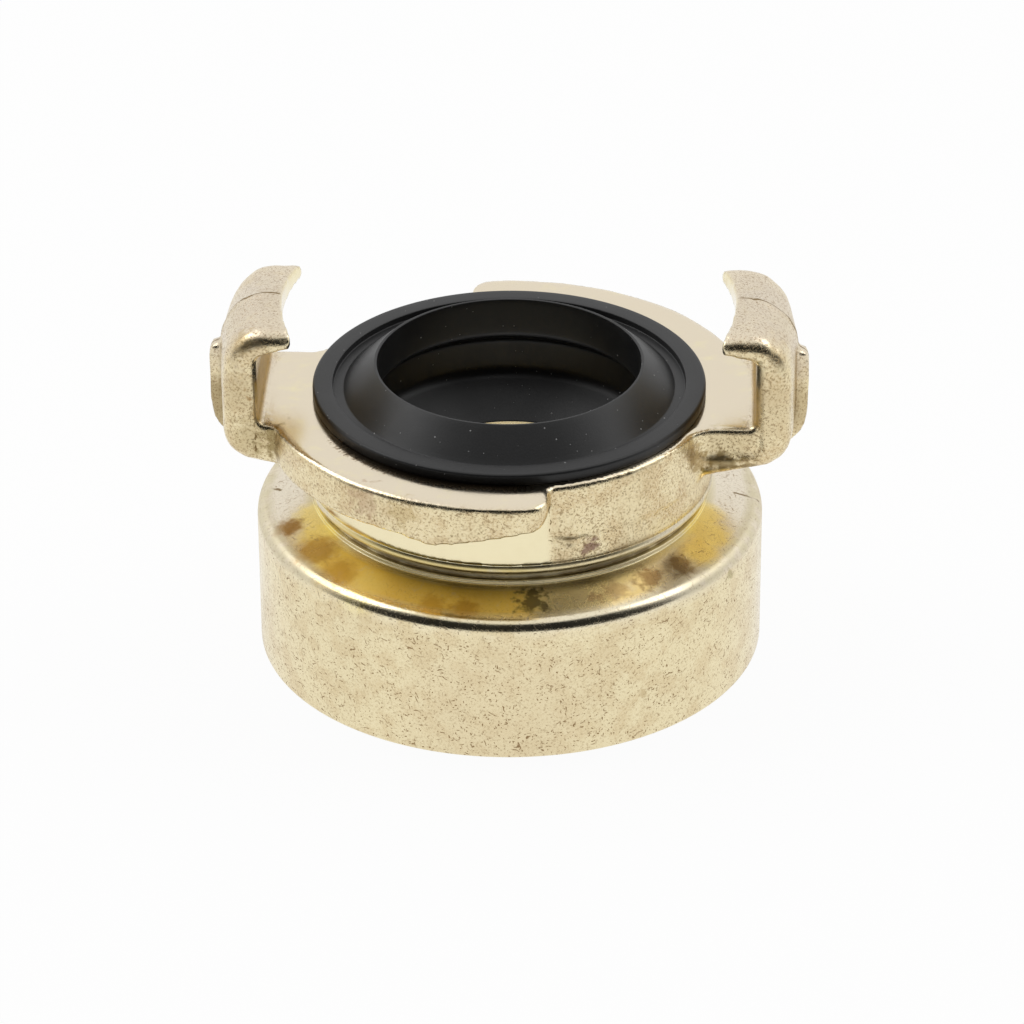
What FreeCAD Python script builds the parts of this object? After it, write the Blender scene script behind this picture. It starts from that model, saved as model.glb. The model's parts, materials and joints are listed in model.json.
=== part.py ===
"""Claw-type quick connect hose coupling with a female pipe thread: brass body and rubber form seal.

The origin is the centre of the cup's bottom face, +Z points up to the claws and +X runs through
both claws. The body is the same after half a turn about Z. All lengths are millimetres.
"""
import FreeCAD
import Part
import math
import os

import Sketcher

SIZES = [
    ("thread_diameter", 41.91, "outer diameter of the G 1 1/4 pipe thread in the cup"),
    ("thread_depth", 1.479, "radial depth of that thread, left as a plain bore wall"),
    ("cup_wall", 3.145, "cup wall outside the thread"),
    ("cup_height", 14.35, "outer wall of the cup, from its bottom to the shoulder's edge"),
    ("base_chamfer", 0.4, "chamfer round the cup's bottom"),
    ("shoulder_bevel", 0.79, "bevel at the shoulder's edge, along the cup's wall and along the shoulder"),
    ("shoulder_rise", 1.35, "rise of the shoulder from the cup's edge to the neck"),
    ("foot_ring", 0.4, "height of the ring round the foot of the neck"),
    ("foot_proud", 0.55, "how far that ring stands out of the cove above it"),
    ("cove_depth", 0.95, "depth of the cove above the foot ring, into the neck"),
    ("cove_land", 0.5, "straight bottom of the cove"),
    ("cove_rise", 1.2, "height over which the cove runs out to the neck"),
    ("neck_height", 10.3, "from the neck's foot up to the sealing face"),
    ("floor_thickness", 2.15, "cup floor, measured down from the shoulder's edge"),
    ("mouth_flare", 1.77, "how far the thread's mouth chamfer opens past the bore"),
    ("mouth_depth", 1.2, "height of the mouth chamfer"),
    ("relief_clearance", 0.15, "run-out groove outside the thread's outer diameter"),
    ("relief_width", 2.6, "width of the run-out groove under the floor"),
    ("passage_diameter", 23.0, "water passage through the neck"),
    ("recess_diameter", 30.4, "recess that holds the form seal"),
    ("recess_depth", 8.7, "depth of the recess under the sealing face"),
    ("undercut", 0.9, "undercut at the bottom of the recess, which holds the seal's bead"),
    ("undercut_height", 3.0, "height of the undercut"),
    ("undercut_lead", 0.6, "sloped roof of the undercut"),
    ("neck_wall", 4.1, "wall of the neck outside the recess"),
    ("wing_reach", 3.7, "how far the bayonet wings stand out of the neck"),
    ("wing_end", 4.4, "side distance of a wing's end face from the middle"),
    ("wing_corner", 2.0, "round of a wing's outer corner, seen from above"),
    ("seat_thickness", 4.0, "wing thickness where the other half's claw rests"),
    ("crest_thickness", 4.5, "wing thickness at the crest of the ramp"),
    ("crest_end", 6.2, "side distance from the middle to where the ramp begins"),
    ("crest_width", 0.5, "width of the crest"),
    ("crest_fall", 2.6, "width of the slope from the crest down to the seat"),
    ("ramp_thickness", 2.75, "wing thickness at the foot of the ramp"),
    ("wing_lead", 1.9, "round under the wing's tip"),
    ("rim_edge", 0.3, "chamfer along the upper edge of the neck and its wings"),
    ("slot_clearance", 0.2, "gap between a wing's circle and the inside of a claw's wall"),
    ("claw_wall", 3.85, "wall of a claw behind its slot"),
    ("claw_half_width", 7.8, "half the width of a claw"),
    ("claw_draft", 4.0, "forging draft of a claw, in degrees"),
    ("claw_edge", 1.6, "round along a claw's outer edges"),
    ("slot_height", 7.0, "slot under a claw's lip, at the wall"),
    ("slot_flare", 0.57, "extra height of the slot at the lip's tip"),
    ("slot_round", 0.7, "round between the lip and the wall, inside"),
    ("lip_overhang", 2.0, "how far the lip reaches in over the wings' circle"),
    ("lip_thickness", 2.95, "thickness of the lip at the wall"),
    ("claw_top_round", 4.9, "round over a claw's back, from the lip to the wall"),
    ("claw_heel_round", 3.2, "round under a claw's back"),
    ("arm_thickness", 4.75, "thickness of an arm under the claw's wall"),
    ("arm_slope", 0.22, "rise of an arm's underside for each millimetre outwards"),
    ("arm_corner", 1.0, "round in the corner between an arm and the neck or wing"),
    ("neck_corner_depth", 3.5, "depth of that round beside the neck, under the sealing face"),
    ("trim_depth", 0.35, "depth of the trimmed step on a claw's entry side"),
    ("trim_start", 0.25, "from the arm's inner corner to the trimmed step"),
    ("trim_wall", 0.75, "width of the trimmed step on the claw's wall"),
    ("trim_lip", 0.7, "width of the trimmed step under the lip"),
    ("trim_arm", 2.8, "height of the trimmed step on the arm"),
    ("fin_reach", 1.15, "how far the trimmed flash fin stands out of a claw's back"),
    ("fin_thickness", 1.8, "thickness of the fin"),
    ("fin_top", 4.9, "top of the fin, above the sealing face"),
    ("fin_tail", 3.55, "how far the fin runs down round the heel"),
    ("fin_corner", 0.9, "round at the fin's top corner"),
    ("seal_clearance", 0.12, "gap between the seal and the recess, on the radius"),
    ("disc_diameter", 37.1, "disc of the seal that lies on the sealing face"),
    ("disc_thickness", 1.05, "thickness of that disc"),
    ("rim_width", 1.9, "flat rim of the disc"),
    ("ledge_drop", 0.65, "step down from the rim to the ledge"),
    ("ledge_width", 1.0, "ledge between the rim and the sealing cone"),
    ("lip_height", 2.05, "height of the sealing lip above the disc"),
    ("lip_bore", 24.9, "inner diameter of the sealing lip"),
    ("lip_land", 0.25, "flat top of the sealing lip"),
    ("lip_depth", 4.0, "inner wall of the lip, from its top to the cavity's roof"),
    ("cavity_roof", 1.2, "slope from the lip's inner wall out to the cavity"),
    ("cavity_width", 1.75, "how far the cavity opens past the lip's bore"),
    ("seal_floor", 0.45, "thickness of the seal at its hole"),
    ("seal_floor_rise", 2.6, "rise of the seal's floor from its hole to the cavity's wall"),
    ("hole_clearance", 0.2, "how far the seal's hole stands inside the water passage"),
]

UP = FreeCAD.Vector(0, 0, 1)
FULL_TURN = 360
OCCURRENCES = 2


class Size:
    """A length worked out from the sheet: its value now, and the expression that follows the sheet."""

    def __init__(self, value, text):
        self.value = value
        self.text = text

    @staticmethod
    def of(number):
        """Take a plain number as a size too."""
        return number if isinstance(number, Size) else Size(float(number), str(number))

    def __add__(self, other):
        other = Size.of(other)
        return Size(self.value + other.value, f"({self.text} + {other.text})")

    def __sub__(self, other):
        other = Size.of(other)
        return Size(self.value - other.value, f"({self.text} - {other.text})")

    def __mul__(self, other):
        other = Size.of(other)
        return Size(self.value * other.value, f"({self.text} * {other.text})")

    def __truediv__(self, other):
        other = Size.of(other)
        return Size(self.value / other.value, f"({self.text} / {other.text})")

    def __neg__(self):
        return Size(-self.value, f"(0 - {self.text})")

    def root(self):
        """The square root."""
        return Size(math.sqrt(self.value), f"sqrt({self.text})")


ZERO = Size.of(0)


def make_sheet(doc):
    """Put every driving dimension into a spreadsheet cell with an alias of its own."""
    sheet = doc.addObject("Spreadsheet::Sheet", "Sizes")
    for row, (alias, value, meaning) in enumerate(SIZES, 1):
        sheet.set(f"A{row}", alias)
        sheet.set(f"B{row}", str(value))
        sheet.set(f"C{row}", meaning)
        sheet.setAlias(f"B{row}", alias)
    doc.recompute()
    return {alias: Size(float(getattr(sheet, alias)), f"Sizes.{alias}") for alias, _, _ in SIZES}


def origin_part(body, role):
    """One of a body's own origin planes or axes."""
    return next(item for item in body.Origin.OriginFeatures if item.Role == role)


def new_sketch(body, name, plane, offset=None):
    """A sketch on one of the body's origin planes, moved along the plane's normal by offset."""
    sketch = body.newObject("Sketcher::SketchObject", name)
    sketch.AttachmentSupport = (origin_part(body, plane), [""])
    sketch.MapMode = "FlatFace"
    if offset is not None:
        sketch.setExpression("AttachmentOffset.Base.z", offset.text)
    return sketch


def arc_side(start, end, radius, turn):
    """The arc from start to end, turning left (turn 1) or right (turn -1), less than half a circle."""
    chord = end - start
    left = FreeCAD.Vector(-chord.y, chord.x, 0).normalize()
    height = math.sqrt(max(radius ** 2 - (chord.Length / 2) ** 2, 0))
    centre = (start + end) * 0.5 + left * (height * turn)
    first, last = (start, end) if turn > 0 else (end, start)
    angles = [math.atan2(point.y - centre.y, point.x - centre.x) for point in (first, last)]
    return Part.ArcOfCircle(Part.Circle(centre, UP, radius), angles[0], angles[1])


def draw_outline(sketch, corners, arcs=None):
    """Draw a closed outline and tie each corner and radius to the sheet.

    corners holds pairs of sizes. arcs gives, for the number of a side, its radius and the way it
    turns; the other sides are straight.
    """
    sketch_origin, level_axis, upright_axis = (-1, 1), -1, -2
    across = (0, "DistanceX", "Vertical", upright_axis)
    upwards = (1, "DistanceY", "Horizontal", level_axis)
    arcs = arcs or {}
    count = len(corners)
    points = [FreeCAD.Vector(x.value, y.value, 0) for x, y in corners]
    ends = []
    for side in range(count):
        start, end = points[side], points[(side + 1) % count]
        if side in arcs:
            radius, turn = arcs[side]
            geometry = sketch.addGeometry(arc_side(start, end, radius.value, turn))
            rule = sketch.addConstraint(Sketcher.Constraint("Radius", geometry, radius.value))
            sketch.setExpression(f"Constraints[{rule}]", radius.text)
            ends.append((geometry, 1, 2) if turn > 0 else (geometry, 2, 1))
        else:
            ends.append((sketch.addGeometry(Part.LineSegment(start, end)), 1, 2))
    for side, (geometry, _, last) in enumerate(ends):
        following, first, _ = ends[(side + 1) % count]
        sketch.addConstraint(Sketcher.Constraint("Coincident", geometry, last, following, first))
    for side, (geometry, first, _) in enumerate(ends):
        straight_before = side > 0 and side - 1 not in arcs
        for axis, kind, level, axis_line in (across, upwards):
            size = corners[side][axis]
            if straight_before and size.text == corners[side - 1][axis].text:
                sketch.addConstraint(Sketcher.Constraint(level, ends[side - 1][0]))
            elif size.text == ZERO.text:
                sketch.addConstraint(Sketcher.Constraint("PointOnObject", geometry, first, axis_line))
            else:
                distance = Sketcher.Constraint(kind, *sketch_origin, geometry, first, size.value)
                rule = sketch.addConstraint(distance)
                sketch.setExpression(f"Constraints[{rule}]", size.text)


def revolve(body, kind, name, sketch):
    """Turn a sketch fully round the sketch's own vertical axis, as a Revolution or a Groove."""
    feature = body.newObject(f"PartDesign::{kind}", name)
    feature.Profile = sketch
    feature.ReferenceAxis = (sketch, ["V_Axis"])
    feature.Angle = FULL_TURN


def half_turn_copy(body, name, feature=None):
    """Repeat a feature, or the whole body so far, after half a turn about Z."""
    pattern = body.newObject("PartDesign::PolarPattern", name)
    if feature is None:
        pattern.TransformMode = "Whole shape"
    else:
        pattern.Originals = [feature]
    pattern.Axis = (origin_part(body, "Z_Axis"), [""])
    pattern.Angle = FULL_TURN
    pattern.Occurrences = OCCURRENCES
    body.Tip = pattern
    return pattern


def new_body(doc, name):
    """An empty body whose label names the piece."""
    body = doc.addObject("PartDesign::Body", name)
    body.Label = name
    body.Placement = FreeCAD.Placement()
    return body


def derive(size):
    """Heights and radii that follow from the driving dimensions."""
    thread_radius = size["thread_diameter"] / 2
    recess_radius = size["recess_diameter"] / 2
    neck_radius = recess_radius + size["neck_wall"]
    wing_radius = neck_radius + size["wing_reach"]
    slot_wall = wing_radius + size["slot_clearance"]
    foot_height = size["cup_height"] + size["shoulder_rise"]
    face_height = foot_height + size["neck_height"]
    return {
        "thread_radius": thread_radius,
        "cup_radius": thread_radius + size["cup_wall"],
        "bore_radius": thread_radius - size["thread_depth"],
        "floor_height": size["cup_height"] - size["floor_thickness"],
        "recess_radius": recess_radius,
        "neck_radius": neck_radius,
        "wing_radius": wing_radius,
        "slot_wall": slot_wall,
        "claw_reach": slot_wall + size["claw_wall"],
        "lip_radius": slot_wall - size["lip_overhang"],
        "foot_height": foot_height,
        "face_height": face_height,
        "slot_roof": face_height + size["slot_height"],
        "claw_top": face_height + size["slot_height"] + size["lip_thickness"],
    }


def add_wing_plate(body, size, made):
    """The flange plate with both bayonet wings, seen from above, padded down from the sealing face."""
    wing, neck = made["wing_radius"], made["neck_radius"]
    corner, end = size["wing_corner"], size["wing_end"]
    inset = end - corner
    reach = wing - corner
    corner_y = (reach * reach - inset * inset).root()
    grow = wing / reach
    neck_y = (neck * neck - end * end).root()
    half = [
        (wing, ZERO),
        (-(inset * grow), corner_y * grow),
        (-end, corner_y),
        (-end, neck_y),
        (-neck, ZERO),
    ]
    other_half = [(-x if x is not ZERO else x, -y if y is not ZERO else y) for x, y in half]
    sketch = new_sketch(body, "WingPlan", "XY_Plane", made["face_height"])
    arcs = {0: (wing, 1), 1: (corner, 1), 3: (neck, 1), 5: (wing, 1), 6: (corner, 1), 8: (neck, 1)}
    draw_outline(sketch, half + other_half, arcs)
    plate = body.newObject("PartDesign::Pad", "WingPlate")
    plate.Profile = sketch
    plate.Reversed = True
    plate.setExpression("Length", size["crest_thickness"].text)


def cut_wing_ramp(body, size, made):
    """The underside of a wing, seen from the front: seat, crest, lead-in ramp and rounded tip."""
    face, below = made["face_height"], made["foot_height"]
    seat = face - size["seat_thickness"]
    crest = face - size["crest_thickness"]
    crest_start = size["crest_end"] + size["crest_width"]
    ramp_x = size["wing_end"] - size["wing_lead"]
    ramp_z = face - size["ramp_thickness"]
    far = made["claw_reach"]
    corners = [
        (-far, below),
        (far, below),
        (far, ramp_z + size["wing_lead"]),
        (size["wing_end"], ramp_z + size["wing_lead"]),
        (ramp_x, ramp_z),
        (-size["crest_end"], crest),
        (-crest_start, crest),
        (-(crest_start + size["crest_fall"]), seat),
        (-far, seat),
    ]
    sketch = new_sketch(body, "RampProfile", "XZ_Plane")
    draw_outline(sketch, corners, {3: (size["wing_lead"], -1)})
    ramp = body.newObject("PartDesign::Pocket", "WingRamp")
    ramp.Profile = sketch
    ramp.Reversed = True
    ramp.setExpression("Length", far.text)
    return half_turn_copy(body, "WingRamps", ramp)


def add_core(body, size, made):
    """Cup, shoulder, foot ring, cove and neck as one turned outline."""
    cup, neck, chamfer = made["cup_radius"], made["neck_radius"], size["base_chamfer"]
    cove = neck - size["cove_depth"]
    foot = cove + size["foot_proud"]
    foot_z = made["foot_height"]
    ring_top = foot_z + size["foot_ring"]
    land_top = ring_top + size["cove_land"]
    run, rise = cup - foot, size["shoulder_rise"]
    slant = (run * run + rise * rise).root()
    bevel = size["shoulder_bevel"]
    face, edge = made["face_height"], size["rim_edge"]
    corners = [
        (ZERO, ZERO),
        (cup - chamfer, ZERO),
        (cup, chamfer),
        (cup, size["cup_height"] - bevel),
        (cup - bevel * run / slant, size["cup_height"] + bevel * rise / slant),
        (foot, foot_z),
        (foot, ring_top),
        (cove, ring_top),
        (cove, land_top),
        (neck, land_top + size["cove_rise"]),
        (neck, face - edge),
        (neck - edge, face),
        (ZERO, face),
    ]
    sketch = new_sketch(body, "CoreProfile", "XZ_Plane")
    draw_outline(sketch, corners)
    revolve(body, "Revolution", "Core", sketch)


def claw_back(size, made):
    """Outline of a claw seen from the front, without its slot: arm, heel, wall and lip in one block.

    The block runs in to the water passage, where the neck and the bore swallow it. All four corners
    are round, so that the draft leaves every side flat.
    """
    reach, top = made["claw_reach"], made["claw_top"]
    heel, crown, slope = size["claw_heel_round"], size["claw_top_round"], size["arm_slope"]
    steep = (slope * slope + 1).root()
    along, down = heel * slope / steep, heel / steep
    root = size["passage_diameter"] / 2
    root_x, heel_x = root + heel, reach - heel
    middle_z = made["face_height"] - size["arm_thickness"] + heel * steep
    root_z = middle_z + (root_x - made["slot_wall"]) * slope
    heel_z = middle_z + (heel_x - made["slot_wall"]) * slope
    corners = [
        (root_x + along, root_z - down),
        (heel_x + along, heel_z - down),
        (reach, heel_z),
        (reach, top - crown),
        (reach - crown, top),
        (root_x, top),
        (root, top - heel),
        (root, root_z),
    ]
    return corners, {1: (heel, 1), 3: (crown, 1), 5: (heel, 1), 7: (heel, 1)}, (heel_x, heel_z)


def add_claw_block(body, size, made):
    """A drafted block for a claw and its arm, wider at the parting plane."""
    corners, arcs, _ = claw_back(size, made)
    sketch = new_sketch(body, "ClawProfile", "XZ_Plane")
    draw_outline(sketch, corners, arcs)
    claw = body.newObject("PartDesign::Pad", "ClawBlock")
    claw.Profile = sketch
    claw.SideType = "Two sides"
    for side in ("", "2"):
        claw.setExpression(f"Length{side}", size["claw_half_width"].text)
        claw.setExpression(f"TaperAngle{side}", f"0 - {size['claw_draft'].text}")
    return claw


def add_fin(body, size, made):
    """The trimmed flash fin down the back of a claw, on the parting plane."""
    _, _, (heel_x, heel_z) = claw_back(size, made)
    outside = made["claw_reach"] + size["fin_reach"]
    inside = made["slot_wall"] + size["claw_wall"] / 2
    top = made["face_height"] + size["fin_top"]
    corner = size["fin_corner"]
    radius, tail = outside - heel_x, size["fin_tail"]
    corners = [
        (inside, top),
        (inside, heel_z),
        (heel_x + (radius * radius - tail * tail).root(), heel_z - tail),
        (outside, heel_z),
        (outside, top - corner),
        (outside - corner, top),
    ]
    sketch = new_sketch(body, "FinProfile", "XZ_Plane")
    draw_outline(sketch, corners, {2: (radius, 1), 4: (corner, 1)})
    fin = body.newObject("PartDesign::Pad", "Fin")
    fin.Profile = sketch
    fin.SideType = "Symmetric"
    fin.setExpression("Length", size["fin_thickness"].text)


def near(left, right, tolerance=0.01):
    """Whether two lengths are the same."""
    return abs(left - right) < tolerance


def dress_edges(doc, body, name, base, kind, width, test):
    """Round or chamfer the edges of the last feature that pass a test."""
    doc.recompute()
    found = [f"Edge{number}" for number, edge in enumerate(base.Shape.Edges, 1) if test(edge)]
    if not found:
        raise RuntimeError(f"{name} finds no edge")
    dressed = body.newObject(f"PartDesign::{kind}", name)
    dressed.Base = (base, found)
    dressed.setExpression("Radius" if kind == "Fillet" else "Size", width.text)


def plan_radius(vertex):
    """Distance of a vertex from the coupling's axis."""
    return math.hypot(vertex.Point.x, vertex.Point.y)


def chamfer_rim(doc, body, size, made, ramps):
    """Chamfer the wings' upper edges and, as in the core's outline, the neck's."""
    inside = made["recess_radius"].value + size["rim_edge"].value
    face = made["face_height"].value

    def on_rim(edge):
        return all(near(vertex.Point.z, face) and plan_radius(vertex) > inside for vertex in edge.Vertexes)

    dress_edges(doc, body, "RimEdges", ramps, "Chamfer", size["rim_edge"], on_rim)


def round_claw_edges(doc, body, size, made, block):
    """Round the outline of a claw block on its front and back faces, apart from its buried root."""
    width = size["claw_half_width"].value
    root = made["recess_radius"].value + size["neck_wall"].value

    def on_outline(edge):
        box = edge.BoundBox
        return near(abs(box.YMin), width) and near(box.YMin, box.YMax) and box.XMax > root

    dress_edges(doc, body, "ClawEdges", block, "Fillet", size["claw_edge"], on_outline)


def cut_slot(body, size, made):
    """The slot of a claw, between the arm and the lip, seen from the front."""
    wall, face, roof = made["slot_wall"], made["face_height"], made["slot_roof"]
    flare, corner = size["slot_flare"], size["slot_round"]
    tip_x = made["lip_radius"]
    slope = flare / (wall - tip_x)
    steep = (slope * slope + 1).root()
    centre_x = wall - corner
    centre_z = roof + slope * corner - corner * steep
    inner_x = made["recess_radius"]
    corners = [
        (inner_x, face),
        (wall, face),
        (wall, centre_z),
        (centre_x + corner * slope / steep, centre_z + corner / steep),
        (inner_x, roof + slope * (wall - inner_x)),
    ]
    sketch = new_sketch(body, "SlotProfile", "XZ_Plane")
    draw_outline(sketch, corners, {2: (corner, 1)})
    slot = body.newObject("PartDesign::Pocket", "Slot")
    slot.Profile = sketch
    slot.SideType = "Symmetric"
    slot.Type = "ThroughAll"


def corner_centre(radius, size):
    """Centre of the round between an arm's side and an upright wall of the given radius."""
    reach = radius + size["arm_corner"]
    side = size["claw_half_width"] + size["arm_corner"]
    return (reach * reach - side * side).root(), side


def fill_arm_corner(body, size, made, name, side, radius, depth):
    """The rounded inner corner between an arm and the neck or a wing, seen from above."""
    corner, width = size["arm_corner"], size["claw_half_width"]
    centre_x, centre_y = corner_centre(radius, size)
    share = radius / (radius + corner)
    buried = width - corner
    corners = [
        (centre_x * share * side, -(centre_y * share)),
        (centre_x * side, -width),
        (centre_x * side, -buried),
        (centre_x * share * side, -buried),
    ]
    sketch = new_sketch(body, f"{name}Plan", "XY_Plane", made["face_height"])
    draw_outline(sketch, corners, {0: (corner, -side)})
    fill = body.newObject("PartDesign::Pad", name)
    fill.Profile = sketch
    fill.Reversed = True
    fill.setExpression("Length", depth.text)
    half_turn_copy(body, f"{name}s", fill)


def bore_lips(body, size, made):
    """Turn the lips' inner ends to one circle, and clear everything above the sealing face inside it."""
    lip, face = made["lip_radius"], made["face_height"]
    above = made["claw_top"] + size["lip_thickness"]
    sketch = new_sketch(body, "LipBoreProfile", "XZ_Plane")
    draw_outline(sketch, [(ZERO, face), (lip, face), (lip, above), (ZERO, above)])
    revolve(body, "Groove", "LipBore", sketch)


def trim_entry(body, size, made):
    """The shallow trimmed step round a slot on the side where the other half's wing enters."""
    face, roof, wall = made["face_height"], made["slot_roof"], made["slot_wall"]
    outer = wall + size["trim_wall"]
    inner = corner_centre(made["neck_radius"], size)[0] + size["trim_start"]
    bottom = face - size["trim_arm"]
    top = roof + size["trim_lip"]
    sketch = new_sketch(body, "TrimProfile", "XZ_Plane", size["claw_half_width"])
    draw_outline(sketch, [(inner, bottom), (outer, bottom), (outer, top), (inner, top)])
    trim = body.newObject("PartDesign::Pocket", "Trim")
    trim.Profile = sketch
    trim.setExpression("Length", size["trim_depth"].text)
    half_turn_copy(body, "Trims", trim)


def bore_body(body, size, made):
    """The inside, from the cup's mouth up: threaded bore, run-out, floor, passage and seal recess."""
    bore, floor, face = made["bore_radius"], made["floor_height"], made["face_height"]
    relief = made["thread_radius"] + size["relief_clearance"]
    relief_start = floor - size["relief_width"]
    passage = size["passage_diameter"] / 2
    recess = made["recess_radius"]
    undercut = recess + size["undercut"]
    ledge = face - size["recess_depth"]
    roof = ledge + size["undercut_height"]
    corners = [
        (ZERO, ZERO),
        (bore + size["mouth_flare"], ZERO),
        (bore, size["mouth_depth"]),
        (bore, relief_start),
        (relief, relief_start),
        (relief, floor),
        (passage, floor),
        (passage, ledge),
        (undercut, ledge),
        (undercut, roof),
        (recess, roof + size["undercut_lead"]),
        (recess, face),
        (ZERO, face),
    ]
    sketch = new_sketch(body, "BoreProfile", "XZ_Plane")
    draw_outline(sketch, corners)
    revolve(body, "Groove", "Bore", sketch)


def build_claws(doc, size, made):
    """Both claws with their arms, still apart from the neck that carries them."""
    claws = new_body(doc, "claws")
    claws.AllowCompound = True
    block = add_claw_block(claws, size, made)
    round_claw_edges(doc, claws, size, made, block)
    add_fin(claws, size, made)
    cut_slot(claws, size, made)
    doc.recompute()
    half_turn_copy(claws, "ClawPair")
    return claws


def build_claw_body(doc, size, made):
    """The forged and turned brass body: cup, neck, bayonet wings and two claws."""
    claws = build_claws(doc, size, made)
    body = new_body(doc, "claw_body")
    add_wing_plate(body, size, made)
    ramps = cut_wing_ramp(body, size, made)
    chamfer_rim(doc, body, size, made, ramps)
    add_core(body, size, made)
    joined = body.newObject("PartDesign::Boolean", "ClawsJoined")
    joined.Type = "Fuse"
    joined.setObjects([claws])
    fill_arm_corner(body, size, made, "NeckCorner", 1, made["neck_radius"], size["neck_corner_depth"])
    wing_corner_depth = size["seat_thickness"] - size["claw_edge"]
    fill_arm_corner(body, size, made, "WingCorner", -1, made["wing_radius"], wing_corner_depth)
    trim_entry(body, size, made)
    bore_lips(body, size, made)
    bore_body(body, size, made)
    return body


def build_seal_ring(doc, size, made):
    """The rubber form seal: disc, sealing cone with its lip, cavity and the bead in the undercut."""
    gap = size["seal_clearance"]
    face = made["face_height"]
    disc_top = face + size["disc_thickness"]
    disc = size["disc_diameter"] / 2
    rim = disc - size["rim_width"]
    ledge_z = disc_top - size["ledge_drop"]
    ledge = rim - size["ledge_width"]
    lip_top = disc_top + size["lip_height"]
    lip = size["lip_bore"] / 2
    cavity = lip + size["cavity_width"]
    cavity_top = lip_top - size["lip_depth"] - size["cavity_roof"]
    bottom = face - size["recess_depth"]
    hole = size["passage_diameter"] / 2 - size["hole_clearance"]
    hole_top = bottom + size["seal_floor"]
    sleeve = made["recess_radius"] - gap
    bead = sleeve + size["undercut"]
    bead_top = bottom + size["undercut_height"] - gap
    corners = [
        (hole, bottom),
        (bead, bottom),
        (bead, bead_top),
        (sleeve, bead_top + size["undercut_lead"]),
        (sleeve, face),
        (disc, face),
        (disc, disc_top),
        (rim, disc_top),
        (rim, ledge_z),
        (ledge, ledge_z),
        (lip + size["lip_land"], lip_top),
        (lip, lip_top),
        (lip, lip_top - size["lip_depth"]),
        (cavity, cavity_top),
        (cavity, hole_top + size["seal_floor_rise"]),
        (hole, hole_top),
    ]
    body = new_body(doc, "seal_ring")
    sketch = new_sketch(body, "SealProfile", "XZ_Plane")
    draw_outline(sketch, corners)
    revolve(body, "Revolution", "Seal", sketch)
    return body


def check(doc, pieces):
    """Stop on a failed object, or on a piece that isn't one valid solid."""
    for item in doc.Objects:
        bad = [state for state in item.State if state in ("Invalid", "Error")]
        if bad:
            raise RuntimeError(f"{item.Name} is {bad}")
    for piece in pieces:
        shape = piece.Shape
        if shape.isNull() or not shape.isValid() or len(shape.Solids) != 1:
            raise RuntimeError(f"{piece.Label} is not one valid solid")
        print(piece.Label, "volume", round(shape.Volume, 1), "box", shape.BoundBox)


def main():
    """Build both pieces, check them and write their files."""
    doc = FreeCAD.newDocument("HoseCoupling")
    size = make_sheet(doc)
    made = derive(size)
    pieces = [build_claw_body(doc, size, made), build_seal_ring(doc, size, made)]
    doc.recompute()
    check(doc, pieces)
    os.makedirs("parts", exist_ok=True)
    for piece in pieces:
        piece.Shape.exportStep(f"parts/{piece.Label}.step")


main()
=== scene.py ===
"""Looks of a claw-type quick connect hose coupling: a forged brass body and a black rubber form seal.

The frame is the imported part's own: metres, +Z up through the coupling's axis, +X through both claws,
with the origin in the middle of the cup's bottom face. The camera looks along +Y, from above.
"""
import json
import logging
import math
from dataclasses import dataclass
from functools import partial, reduce
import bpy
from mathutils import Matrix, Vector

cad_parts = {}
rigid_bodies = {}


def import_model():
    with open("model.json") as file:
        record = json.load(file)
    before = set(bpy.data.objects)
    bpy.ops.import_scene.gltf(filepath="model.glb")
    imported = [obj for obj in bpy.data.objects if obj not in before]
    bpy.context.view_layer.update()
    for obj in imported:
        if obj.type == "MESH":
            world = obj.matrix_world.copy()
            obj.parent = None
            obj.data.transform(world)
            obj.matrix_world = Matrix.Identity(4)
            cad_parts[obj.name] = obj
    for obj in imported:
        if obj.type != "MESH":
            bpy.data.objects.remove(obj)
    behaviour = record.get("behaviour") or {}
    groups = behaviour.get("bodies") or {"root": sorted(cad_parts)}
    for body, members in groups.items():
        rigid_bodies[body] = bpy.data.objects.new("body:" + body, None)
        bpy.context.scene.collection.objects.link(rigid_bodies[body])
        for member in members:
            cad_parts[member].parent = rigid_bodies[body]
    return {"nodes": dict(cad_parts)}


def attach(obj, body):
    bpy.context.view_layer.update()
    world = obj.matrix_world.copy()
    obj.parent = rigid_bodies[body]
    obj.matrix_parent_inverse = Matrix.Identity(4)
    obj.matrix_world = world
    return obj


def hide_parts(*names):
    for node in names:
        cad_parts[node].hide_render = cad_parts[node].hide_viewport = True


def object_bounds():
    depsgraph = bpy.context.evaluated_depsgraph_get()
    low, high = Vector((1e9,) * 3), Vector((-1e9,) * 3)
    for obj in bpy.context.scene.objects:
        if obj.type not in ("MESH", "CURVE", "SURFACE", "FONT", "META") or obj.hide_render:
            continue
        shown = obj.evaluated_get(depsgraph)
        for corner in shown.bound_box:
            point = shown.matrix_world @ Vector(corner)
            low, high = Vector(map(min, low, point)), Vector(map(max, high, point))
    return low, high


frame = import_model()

from types import SimpleNamespace

import bmesh
import bpy
import numpy as np
from mathutils import Quaternion, Vector

Pair = tuple[float, float]
Place = tuple[float, float, float]
Colour = tuple[float, float, float, float]
Socket = bpy.types.NodeSocket
CAD_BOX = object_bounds()
MM = 0.001
LOG = logging.getLogger("hose_coupling")
REGIONS = ("forged", "hollow", "edge", "golden_reflection", "pale", "worn", "seam", "dull", "soot_and_reflection", "slot")
PITS = {"scale": 1300, "size": 0.13, "share": 0.35}
STROKES = {"scale": 2400, "width": 0.2, "share": 0.9}
DUST = ({"scale": 900, "size": 0.09, "share": 0.35}, {"scale": 1500, "size": 0.09, "share": 0.3})


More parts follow.
